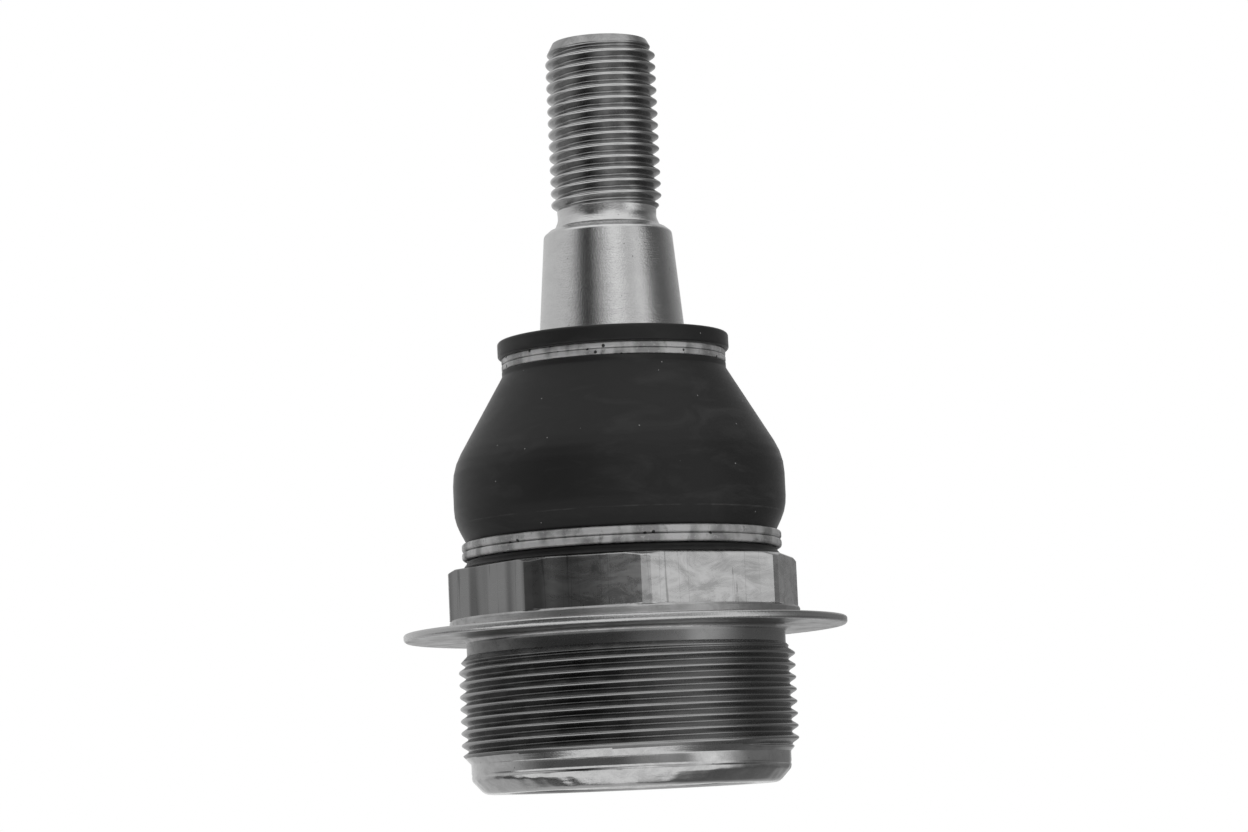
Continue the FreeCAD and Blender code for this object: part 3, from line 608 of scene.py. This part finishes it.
# %% [markdown]
# The cuff stays with the housing, while the collar follows the stud in two tilts, one after the other.
# So the outline is cut level at the top of the belly, and each part is a closed ring.
# The cut lies low enough for the wall to give way when the stud leans against it.

# %% Boot in two parts
BOOT_SPLIT = 23.6
BOOT_COLUMNS = 160


def split_path(path, height):
    """The parts of a closed path under and over a height that it crosses twice, each closed straight across.

    A crossing lies at (height - z1) / (z2 - z1) of the way between the points before and after it.
    """
    ends = np.roll(path, -1, axis=0)
    up, down = np.flatnonzero((path[:, 1] < height) != (ends[:, 1] < height))
    cuts = []
    for number in (up, down):
        first, last = path[number], ends[number]
        cuts.append(first + (height - first[1]) / (last[1] - first[1]) * (last - first))
    over = np.vstack([cuts[:1], path[up + 1:down + 1], cuts[1:]])
    under = np.vstack([cuts[1:], path[down + 1:], path[:up + 1], cuts[:1]])
    return under, over


belly_path, cone_path = split_path(boot_path, BOOT_SPLIT)
boot_angles = np.linspace(0, 2 * math.pi, BOOT_COLUMNS + 1)
boot_belly = grid_piece("boot_belly", turned(belly_path, boot_angles), closed_rows=True)
boot_cone = grid_piece("boot_collar_and_cone", turned(cone_path, boot_angles), closed_rows=True)

# %% [markdown]
# Each ring is spring wire wound in two flat turns, with one short crossover at the back.
# The wire's section is carried along that path: height is a smooth step at the crossover, radius is constant.
# The piece gets its own UV map, along and around the wire, so that rolling marks can follow it.

# %% Clamp rings
RING_END = 22.0
RING_JOG = 17.0
RING_STEPS = 420


def wire_section(thick, width, rounding):
    """Rounded rectangle of the wire: thick across the ring, width along its axis."""
    out, up = thick / 2, width / 2
    return outline([(out, -up, rounding), (out, up, rounding), (-out, up, rounding), (-out, -up, rounding)])


def build_ring(name, middle_radius, low, rise, section):
    """Section (outwards, upwards) carried round two turns that start and end beside the crossover."""
    degrees = np.linspace(RING_END, 720 - RING_END, RING_STEPS)
    height = low + rise * smooth_step((degrees - 360 + RING_JOG) / (2 * RING_JOG))
    angles = np.radians(degrees + 90)[:, None]
    section = np.vstack([section, section[:1]])
    radius = middle_radius + section[None, :, 0] * np.ones_like(angles)
    points = around(radius, height[:, None] + section[None, :, 1], angles)
    piece = grid_piece(name, points, caps=True)
    add_ring_uv(piece, middle_radius, low + rise / 2)
    return piece


def add_ring_uv(piece, middle_radius, middle_height):
    """u is the arc length round the axis from the back, v the height over the middle, both in millimetres."""
    mesh = piece.data
    places = np.empty(len(mesh.vertices) * 3)
    mesh.vertices.foreach_get("co", places)
    places = places.reshape(-1, 3) / MM
    corners = np.empty(len(mesh.loops), dtype=np.int64)
    mesh.loops.foreach_get("vertex_index", corners)
    along = np.arctan2(places[:, 0], -places[:, 1]) * middle_radius
    up = places[:, 2] - middle_height
    layer = mesh.uv_layers.new(name="along_wire")
    layer.data.foreach_set("uv", np.stack([along[corners], up[corners]], axis=-1).ravel())


lower_wire = wire_section(thick=1.2, width=1.02, rounding=0.34)
upper_wire = wire_section(thick=0.7, width=0.76, rounding=0.2)
lower_ring = build_ring("lower_ring_wire", middle_radius=19.4, low=13.04, rise=1.06, section=lower_wire)
upper_ring = build_ring("upper_ring_wire", middle_radius=13.75, low=36.525, rise=0.79, section=upper_wire)


# %% [markdown]
# Finishes are made of shader nodes that read Object coordinates, scaled so that one unit is a millimetre.
# One helper adds a node with its settings, and a few more do the sums, so that each finish stays short.

# %% Helpers for nodes
def add_node(tree, kind, sockets=None, **settings):
    """A node with its settings, and its sockets set to a value or linked to another socket."""
    made = tree.nodes.new(kind)
    for name, value in settings.items():
        setattr(made, name, value)
    for name, value in (sockets or {}).items():
        if isinstance(value, bpy.types.NodeSocket):
            tree.links.new(value, made.inputs[name])
        else:
            made.inputs[name].default_value = value
    return made


def millimetres(tree, scale=(1, 1, 1)):
    """Object coordinates in millimetres, stretched by a scale per axis."""
    place = add_node(tree, "ShaderNodeTexCoord")
    size = [1 / MM * value for value in scale]
    return add_node(tree, "ShaderNodeMapping", {"Vector": place.outputs["Object"], "Scale": size}).outputs[0]


def fit(tree, value, low, high, to_low=0.0, to_high=1.0):
    """Maps low..high to to_low..to_high and clamps."""
    return add_node(tree, "ShaderNodeMapRange", {
        "Value": value, "From Min": low, "From Max": high, "To Min": to_low, "To Max": to_high,
    }).outputs[0]


def math_node(tree, operation, first, second=0.5):
    """One sum, product or other step on two values."""
    made = add_node(tree, "ShaderNodeMath", operation=operation)
    for socket, value in zip(made.inputs, (first, second)):
        if isinstance(value, bpy.types.NodeSocket):
            tree.links.new(value, socket)
        else:
            socket.default_value = value
    return made.outputs[0]


def grey(value):
    """A neutral colour."""
    return (value, value, value, 1.0)


MIX_SHARE = 0
MIX_NUMBERS = (2, 3)
MIX_COLOURS = (6, 7)
MIX_COLOUR_OUT = 2


def blend_colour(tree, share, first, second):
    """Mix of two colours by a share."""
    mix = add_node(tree, "ShaderNodeMix", data_type="RGBA")
    for name, value in zip((MIX_SHARE, *MIX_COLOURS), (share, first, second)):
        if isinstance(value, bpy.types.NodeSocket):
            tree.links.new(value, mix.inputs[name])
        else:
            mix.inputs[name].default_value = value
    return mix.outputs[MIX_COLOUR_OUT]


print("nodes: add, fit, sum, grey and mix")

# %% [markdown]
# Two patterns are enough for every finish here. Noise gives clouds, grain and smears, and stretched on one
# axis it gives lathe rings and tool lines. Voronoi cells give dots: pits in steel and lint on rubber.

# %% Patterns and materials
def noise(tree, vector, scale, detail=4.0, roughness=0.55, distortion=0.0):
    """Cloudy pattern, about 0.3 to 0.7, with features 1 / scale millimetres wide."""
    made = add_node(tree, "ShaderNodeTexNoise", {
        "Vector": vector, "Scale": scale, "Detail": detail, "Roughness": roughness, "Distortion": distortion,
    })
    return made.outputs[0]


def specks(tree, vector, scale, size, share):
    """1 on small dots, 0 elsewhere.

    Space is cut into cells 1 / scale millimetres wide. A share of them holds a dot, size cells in radius.
    """
    cells = add_node(tree, "ShaderNodeTexVoronoi", {"Vector": vector, "Scale": scale})
    dot = math_node(tree, "LESS_THAN", cells.outputs["Distance"], size)
    chosen = add_node(tree, "ShaderNodeSeparateColor", {"Color": cells.outputs["Color"]})
    picked = math_node(tree, "GREATER_THAN", chosen.outputs[0], 1 - share)
    return math_node(tree, "MULTIPLY", dot, picked)


def new_material(name):
    """An empty node material and its shader."""
    material = bpy.data.materials.new(name)
    material.use_nodes = True
    shader = material.node_tree.nodes["Principled BSDF"]
    return material, material.node_tree, shader


def bump(tree, shader, height, strength, distance):
    """Raises the surface by a pattern: distance is its height in millimetres."""
    sockets = {"Height": height, "Strength": strength, "Distance": distance * MM}
    tree.links.new(add_node(tree, "ShaderNodeBump", sockets).outputs[0], shader.inputs["Normal"])


print("patterns: noise and specks")


# %% [markdown]
# Turned steel shows three things: fine rings left by the lathe, cloudy smears of oil, and tiny pits.
# Rings are noise stretched round Z. Smears change the colour a little and the gloss more.
# On a thread and a rim what stands out is rubbed bright, so colour and gloss follow the distance from Z.

# %% Turned steel
def steel(
    name, base, smear, gloss, ring_height=0.004, ring_scale=5.0, grain=0.5, pits=0.0, smear_scale=0.35,
    painted_reflection_to_right=None, crest=None,
):
    """Bare steel: base and smear are grey values, gloss is (low, high) roughness.

    grain is the height of fine pitting against that of the rings, pits the share of cells with a dark dot,
    painted_reflection_to_right (from x, to x, grey) paints a lighter grey towards +X, a painted reflection of
    the bright studio on that side, and crest (from radius, to radius, grey, roughness) brightens what stands
    out.
    """
    material, tree, shader = new_material(name)
    rings = noise(tree, millimetres(tree, (0.06, 0.06, 1.0)), ring_scale, 3.0)
    clouds = noise(tree, millimetres(tree, (1, 1, 1.6)), smear_scale, 6.0, 0.62, 0.6)
    fine = noise(tree, millimetres(tree), 5.0, 3.0, 0.7)
    colour = blend_colour(tree, fit(tree, clouds, 0.42, 0.62), grey(base), grey(smear))
    colour = blend_colour(tree, fit(tree, fine, 0.3, 0.75, 0.0, 0.3), colour, grey(smear * 0.8))
    rough = fit(tree, clouds, 0.35, 0.68, gloss[0], gloss[1])
    rough = math_node(tree, "ADD", rough, fit(tree, fine, 0.3, 0.7, -0.02, 0.04))
    if pits > 0:
        dots = specks(tree, millimetres(tree), 2.2, 0.16, pits)
        colour = blend_colour(tree, dots, colour, grey(base * 0.25))
    # Painted reflection: the colour runs to a lighter grey towards +X, where the studio is bright.
    if painted_reflection_to_right:
        place = add_node(tree, "ShaderNodeSeparateXYZ", {"Vector": millimetres(tree)})
        colour = blend_colour(tree, fit(tree, place.outputs["X"], painted_reflection_to_right[0], painted_reflection_to_right[1]), colour, grey(painted_reflection_to_right[2]))
    if crest:
        flat = millimetres(tree, (1, 1, 0))
        radius = add_node(tree, "ShaderNodeVectorMath", {"Vector": flat}, operation="LENGTH").outputs["Value"]
        share = fit(tree, radius, crest[0], crest[1])
        colour = blend_colour(tree, share, colour, grey(crest[2]))
        sockets = dict(zip((MIX_SHARE, *MIX_NUMBERS), (share, rough, crest[3])))
        rough = add_node(tree, "ShaderNodeMix", sockets).outputs[0]
    tree.links.new(colour, shader.inputs["Base Color"])
    tree.links.new(rough, shader.inputs["Roughness"])
    shader.inputs["Metallic"].default_value = 1.0
    height = math_node(tree, "ADD", rings, math_node(tree, "MULTIPLY", fine, grain))
    bump(tree, shader, height, 0.6, ring_height)
    return material


cone_steel = steel(
    "ground_cone_steel", 0.78, 0.74, (0.06, 0.11), ring_height=0.028, ring_scale=7.0, grain=1.6, pits=0.04,
)
stud_thread_steel = steel(
    "rolled_thread_steel", 0.46, 0.32, (0.18, 0.26), ring_height=0.003, crest=(6.8, 6.98, 0.66, 0.2),
)
# The oily thread is painted a lighter grey from x = 4 to 10 mm: a painted reflection on its right side.
housing_thread_steel = steel(
    "oiled_thread_steel", 0.2, 0.14, (0.2, 0.3), ring_height=0.003,
    painted_reflection_to_right=(4.0, 10.0, 0.32), crest=(20.75, 20.98, 0.4, 0.22),
)
flange_steel = steel(
    "turned_flange_steel", 0.58, 0.46, (0.28, 0.42), ring_height=0.03, ring_scale=3.0, grain=1.5, pits=0.04,
    crest=(27.3, 27.6, 0.6, 0.18),
)
pilot_steel = steel(
    "polished_pilot_steel", 0.66, 0.56, (0.09, 0.17), ring_height=0.01, ring_scale=6.0, grain=0.8, pits=0.03,
    smear_scale=0.5,
)
plate_steel = steel("pressed_plate_steel", 0.45, 0.38, (0.35, 0.5), ring_scale=4.0, pits=0.03)
spring_steel = steel("dark_spring_steel", 0.3, 0.22, (0.3, 0.45), ring_height=0.003)
print("turned steel: seven finishes")

# %% [markdown]
# The milled head is different: it carries a dark film of oil in soft upright bands, and thin upright lines
# where the cutter left the flat. Towards +X it is painted a bright bare grey in cloudy smears: the smears are
# real, and the lighter side is a painted reflection. A line is drawn where stretched noise is near 0.5.

# %% Milled steel
def milled_steel(name):
    """Steel of the head: a film of oil with smears, soft bands and upright lines, and a painted reflection
    towards +X.
    """
    material, tree, shader = new_material(name)
    place = add_node(tree, "ShaderNodeSeparateXYZ", {"Vector": millimetres(tree)})
    # Painted reflection: the head turns to a bright bare grey towards +X, broken up by real smears.
    painted_reflection_to_right = fit(tree, place.outputs["X"], -3.0, 9.0)
    smears = noise(tree, millimetres(tree, (0.7, 0.7, 1.6)), 0.3, 6.0, 0.68, 1.0)
    smears_and_painted_reflection = math_node(tree, "MULTIPLY", painted_reflection_to_right, fit(tree, smears, 0.38, 0.62, 0.45, 1.0))
    bands = noise(tree, millimetres(tree, (1, 1, 0.05)), 0.16, 2.0, 0.4)
    oily = blend_colour(tree, fit(tree, bands, 0.47, 0.56, 0.0, 1.0), grey(0.32), grey(0.16))
    colour = blend_colour(tree, smears_and_painted_reflection, oily, grey(0.8))
    upright = noise(tree, millimetres(tree, (1, 1, 0.03)), 0.3, 3.0, 0.5)
    offset = math_node(tree, "ABSOLUTE", math_node(tree, "SUBTRACT", upright, 0.5))
    colour = blend_colour(tree, fit(tree, offset, 0.0015, 0.004, 0.4, 0.0), colour, grey(0.04))
    tree.links.new(colour, shader.inputs["Base Color"])
    tree.links.new(fit(tree, smears, 0.35, 0.65, 0.22, 0.34), shader.inputs["Roughness"])
    shader.inputs["Metallic"].default_value = 1.0
    fine = noise(tree, millimetres(tree), 3.0, 3.0, 0.7)
    bump(tree, shader, math_node(tree, "ADD", fine, smears), 0.6, 0.004)
    return material


head_steel = milled_steel("milled_head_steel")
print("milled steel ready")


# %% [markdown]
# Rubber is almost black with a satin sheen. Handling leaves faint lighter smears and a few specks of lint.

# %% Rubber
def rubber(name, base, smear, lint, lines=()):
    """Satin black rubber: smear is the grey of its dull streaks, lint the share of cells with a pale speck.

    lines are heights in millimetres where the mould left a faint paler line.
    """
    material, tree, shader = new_material(name)
    streaks = noise(tree, millimetres(tree, (0.5, 0.5, 1.6)), 0.22, 5.0, 0.6, 0.8)
    grain = noise(tree, millimetres(tree), 9.0, 3.0, 0.6)
    colour = blend_colour(tree, fit(tree, streaks, 0.5, 0.72), grey(base), grey(smear))
    dots = specks(tree, millimetres(tree), 0.7, 0.05, lint)
    colour = blend_colour(tree, dots, colour, grey(0.25))
    place = add_node(tree, "ShaderNodeSeparateXYZ", {"Vector": millimetres(tree)})
    for height in lines:
        offset = math_node(tree, "ABSOLUTE", math_node(tree, "SUBTRACT", place.outputs["Z"], height))
        faint = fit(tree, streaks, 0.45, 0.6)
        share = math_node(tree, "MULTIPLY", fit(tree, offset, 0.02, 0.12, 1.0, 0.0), faint)
        colour = blend_colour(tree, share, colour, grey(0.04))
    tree.links.new(colour, shader.inputs["Base Color"])
    dull = fit(tree, streaks, 0.4, 0.7, 0.46, 0.56)
    rough = math_node(tree, "ADD", dull, fit(tree, grain, 0.3, 0.7, -0.03, 0.03))
    tree.links.new(rough, shader.inputs["Roughness"])
    shader.inputs["Specular IOR Level"].default_value = 0.3
    shader.inputs["Sheen Weight"].default_value = 0.32
    shader.inputs["Sheen Roughness"].default_value = 0.25
    bump(tree, shader, grain, 0.5, 0.01)
    return material


MOULD_LINE = 16.9
boot_rubber = rubber("satin_boot_rubber", 0.01, 0.02, 0.35, (MOULD_LINE,))
seal_rubber = rubber("seal_ring_rubber", 0.02, 0.03, 0.0)
print("rubber: boot and seal")

# %% [markdown]
# The rings are dull grey wire. Rolling left long darker patches and short marks that run across it, so
# these follow the UV map along the wire, while flecks and dark spots lie anywhere.

# %% Wire
def wire(name):
    """Dull grey spring wire: patches and marks along its own UV map, flecks and dark spots."""
    material, tree, shader = new_material(name)
    place = add_node(tree, "ShaderNodeUVMap", uv_map="along_wire").outputs[0]
    along = add_node(tree, "ShaderNodeMapping", {"Vector": place, "Scale": (1, 0.5, 1)}).outputs[0]
    patches = noise(tree, along, 0.22, 3.0, 0.5)
    marks = noise(tree, along, 0.9, 6.0, 0.75)
    fine = noise(tree, millimetres(tree), 3.0, 4.0, 0.7)
    colour = blend_colour(tree, fit(tree, patches, 0.46, 0.56), grey(0.6), grey(0.32))
    colour = blend_colour(tree, fit(tree, marks, 0.55, 0.7), colour, grey(0.2))
    colour = blend_colour(tree, fit(tree, fine, 0.55, 0.7), colour, grey(0.62))
    colour = blend_colour(tree, specks(tree, millimetres(tree), 1.0, 0.22, 0.22), colour, grey(0.05))
    tree.links.new(colour, shader.inputs["Base Color"])
    tree.links.new(fit(tree, fine, 0.3, 0.7, 0.5, 0.66), shader.inputs["Roughness"])
    shader.inputs["Metallic"].default_value = 0.85
    bump(tree, shader, math_node(tree, "ADD", marks, fine), 0.6, 0.02)
    return material


ring_wire = wire("dull_spring_wire")
print("wire ready")

# %% [markdown]
# The bearing shells are hidden inside, but they get a finish too: natural plastic lets some light in.

# %% Plastic
def plastic(name, base):
    """Natural bearing plastic: slightly uneven, with light passing a little way into it."""
    material, tree, shader = new_material(name)
    cloud = noise(tree, millimetres(tree), 0.8, 4.0)
    darker = tuple(value * 0.88 for value in base[:3]) + (1.0,)
    tree.links.new(blend_colour(tree, cloud, base, darker), shader.inputs["Base Color"])
    tree.links.new(fit(tree, cloud, 0.3, 0.7, 0.38, 0.5), shader.inputs["Roughness"])
    shader.inputs["Subsurface Weight"].default_value = 0.15
    shader.inputs["Subsurface Radius"].default_value = (0.0008, 0.0007, 0.0005)
    bump(tree, shader, noise(tree, millimetres(tree), 6.0, 2.0), 0.3, 0.008)
    return material


bearing_plastic = plastic("bearing_shell_plastic", (0.82, 0.8, 0.72, 1.0))
print("plastic ready")

# %% [markdown]
# The housing has four finishes by height: a polished foot, an oily dark thread, a turned flange and collar,
# and a milled head.
# The stud has two: ground from the ball to the groove, and rolled along its thread.

# %% Put finishes on the pieces
def finish_by_height(piece, finishes, limits):
    """Gives each face the finish of its height band: limits are the heights between the bands."""
    for material in finishes:
        piece.data.materials.append(material)
    mesh = piece.data
    centres = np.empty(len(mesh.polygons) * 3)
    mesh.polygons.foreach_get("center", centres)
    band = np.searchsorted(np.array(limits) * MM, centres[2::3])
    mesh.polygons.foreach_set("material_index", band.astype(np.int32))
    mesh.update()


housing_finishes = [pilot_steel, housing_thread_steel, flange_steel, head_steel]
finish_by_height(housing, housing_finishes, [PILOT_TOP + 0.7, FLANGE_SEAT - 0.4, FLATS_LOW])
finish_by_height(stud, [cone_steel, stud_thread_steel], [RUNOUT_TOP])
for piece, material in (
    (boot_belly, boot_rubber),
    (boot_cone, boot_rubber),
    (lower_ring, ring_wire),
    (upper_ring, ring_wire),
):
    piece.data.materials.append(material)

for node, material in (
    ("upper_bearing_shell", bearing_plastic),
    ("lower_bearing_shell", bearing_plastic),
    ("preload_spring", spring_steel),
    ("cover_plate", plate_steel),
    ("cover_seal_ring", seal_rubber),
):
    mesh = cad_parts[node].data
    mesh.materials.clear()
    mesh.materials.append(material)
print("finishes put on eleven pieces")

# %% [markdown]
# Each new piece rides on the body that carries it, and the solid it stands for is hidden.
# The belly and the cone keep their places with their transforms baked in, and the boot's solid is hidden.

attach(housing, "housing")
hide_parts("housing")
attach(stud, "stud")
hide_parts("ball_stud")
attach(lower_ring, "housing")
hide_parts("lower_clamp_ring")
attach(upper_ring, "boot_collar")
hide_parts("upper_clamp_ring")
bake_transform(boot_belly)
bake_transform(boot_cone)
for piece in (boot_belly, boot_cone):
    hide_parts("dust_boot")

# %% [markdown]
# The studio: the joint stands on a plain pale floor. The camera looks from just under it, so the floor
# lets that view through from below. The world is white to the camera and a soft studio to everything else:
# pale behind, dark in front to the left, with bright panels in front to the right.

# %% Floor
FLOOR_SIZE = 1.6


def build_floor():
    """A square at the foot's height."""
    half = FLOOR_SIZE / 2
    mesh = bpy.data.meshes.new("floor")
    level = FOOT * MM
    corners = [(-half, -half, level), (half, -half, level), (half, half, level), (-half, half, level)]
    mesh.from_pydata(corners, [], [(0, 1, 2, 3)])
    floor = bpy.data.objects.new("floor", mesh)
    bpy.context.collection.objects.link(floor)
    material, tree, shader = new_material("pale_floor")
    shader.inputs["Base Color"].default_value = grey(0.82)
    shader.inputs["Roughness"].default_value = 0.7
    side = add_node(tree, "ShaderNodeNewGeometry")
    ray = add_node(tree, "ShaderNodeLightPath")
    unseen = math_node(tree, "MULTIPLY", side.outputs["Backfacing"], ray.outputs["Is Camera Ray"])
    clear = add_node(tree, "ShaderNodeBsdfTransparent")
    mix = add_node(tree, "ShaderNodeMixShader", {0: unseen, 1: shader.outputs[0], 2: clear.outputs[0]})
    tree.links.new(mix.outputs[0], tree.nodes["Material Output"].inputs["Surface"])
    mesh.materials.append(material)
    floor.visible_glossy = False
    print("floor", FLOOR_SIZE, "m wide at", round(float(FOOT), 2), "mm")


build_floor()

# %% [markdown]
# Bright metal shows nothing but its surroundings, so the studio is drawn as four rings of light and dark
# round the joint, from the floor to the sky. Each ring is a list of angles round Z, counted from the camera
# to its right, with a brightness at each. Between two rings the brightness runs over smoothly.

# %% World
FLOOR_RING = [
    (-180, 0.55), (-125, 0.45), (-112, 0.08), (-98, 0.08), (-92, 0.85), (74, 0.85), (88, 0.2), (104, 0.1),
    (145, 0.16), (180, 0.55),
]
LEVEL_RING = [
    (-180, 0.8), (-130, 0.52), (-102, 0.5), (-66, 0.1), (-8, 0.1), (10, 0.26), (26, 0.32), (40, 0.25),
    (48, 0.8), (62, 0.95), (80, 0.4), (92, 0.18), (160, 0.2), (180, 0.8),
]
UPPER_RING = [
    (-180, 0.6), (-68, 0.56), (-48, 0.04), (-33, 0.02), (0, 0.72), (14, 0.92), (32, 0.48), (54, 0.76),
    (74, 0.12), (104, 0.1), (135, 0.26), (180, 0.6),
]
SKY_RING = [(-180, 0.45), (-140, 0.45), (-100, 0.85), (100, 0.85), (140, 0.2), (180, 0.45)]
RING_LIMITS = ((-15, -8), (6, 10), (38, 52))


def ring_of_light(tree, share, stops):
    """Brightness over the angle: share is 0 at -180 degrees and 1 at 180 degrees."""
    ramp = add_node(tree, "ShaderNodeValToRGB", {"Fac": share})
    elements = ramp.color_ramp.elements
    while len(elements) < len(stops):
        elements.new(0.5)
    for element, (degrees, value) in zip(elements, stops):
        element.position = degrees / 360 + 0.5
        element.color = grey(value)
    return ramp.outputs[0]


def build_world():
    """Rings of light mixed by the height of the direction: sin(elevation) is its Z."""
    world = bpy.data.worlds.new("studio")
    world.use_nodes = True
    bpy.context.scene.world = world
    tree = world.node_tree
    direction = add_node(tree, "ShaderNodeTexCoord").outputs["Generated"]
    parts = add_node(tree, "ShaderNodeSeparateXYZ", {"Vector": direction})
    round_z = math_node(tree, "ARCTAN2", parts.outputs["Y"], parts.outputs["X"])
    aside = math_node(tree, "SUBTRACT", round_z, math.atan2(towards_camera[1], towards_camera[0]))
    wrapped = add_node(tree, "ShaderNodeMath", {0: aside, 1: math.pi, 2: -math.pi}, operation="WRAP")
    share = fit(tree, wrapped.outputs[0], -math.pi, math.pi)
    studio = ring_of_light(tree, share, FLOOR_RING)
    for (low, high), ring in zip(RING_LIMITS, (LEVEL_RING, UPPER_RING, SKY_RING)):
        rise = fit(tree, parts.outputs["Z"], math.sin(math.radians(low)), math.sin(math.radians(high)))
        studio = blend_colour(tree, rise, studio, ring_of_light(tree, share, ring))
    ray = add_node(tree, "ShaderNodeLightPath")
    seen = blend_colour(tree, ray.outputs["Is Camera Ray"], studio, grey(1.0))
    tree.links.new(seen, tree.nodes["Background"].inputs["Color"])
    print("studio of", len(RING_LIMITS) + 1, "rings of light")


build_world()

# %% [markdown]
# Two large soft lamps light the rubber, one at the front right and one at the back left.
# The metal doesn't mirror them, because its reflections come from the rings of light alone.

# %% Lamps
LAMP_AIM = Vector([0.0, 0.0, 0.03])


def soft_lamp(name, degrees, height, distance, size, power):
    """A square lamp at an angle round Z from the camera, aimed at the middle of the joint."""
    lamp = bpy.data.lights.new(name, "AREA")
    lamp.shape = "SQUARE"
    lamp.size = size
    lamp.energy = power
    holder = bpy.data.objects.new(name, lamp)
    bpy.context.collection.objects.link(holder)
    angle = math.atan2(towards_camera[1], towards_camera[0]) + math.radians(degrees)
    back = Vector([distance * math.cos(angle), distance * math.sin(angle), height])
    aim = back.to_track_quat("Z", "Y").to_matrix().to_4x4()
    aim.translation = back + LAMP_AIM
    holder.matrix_world = aim
    holder.visible_glossy = False


soft_lamp("key_lamp", degrees=60, height=0.55, distance=0.8, size=0.45, power=6.0)
soft_lamp("fill_lamp", degrees=-110, height=0.4, distance=0.9, size=0.6, power=6.0)
bpy.context.scene.view_settings.view_transform = "Standard"
print("two lamps placed")
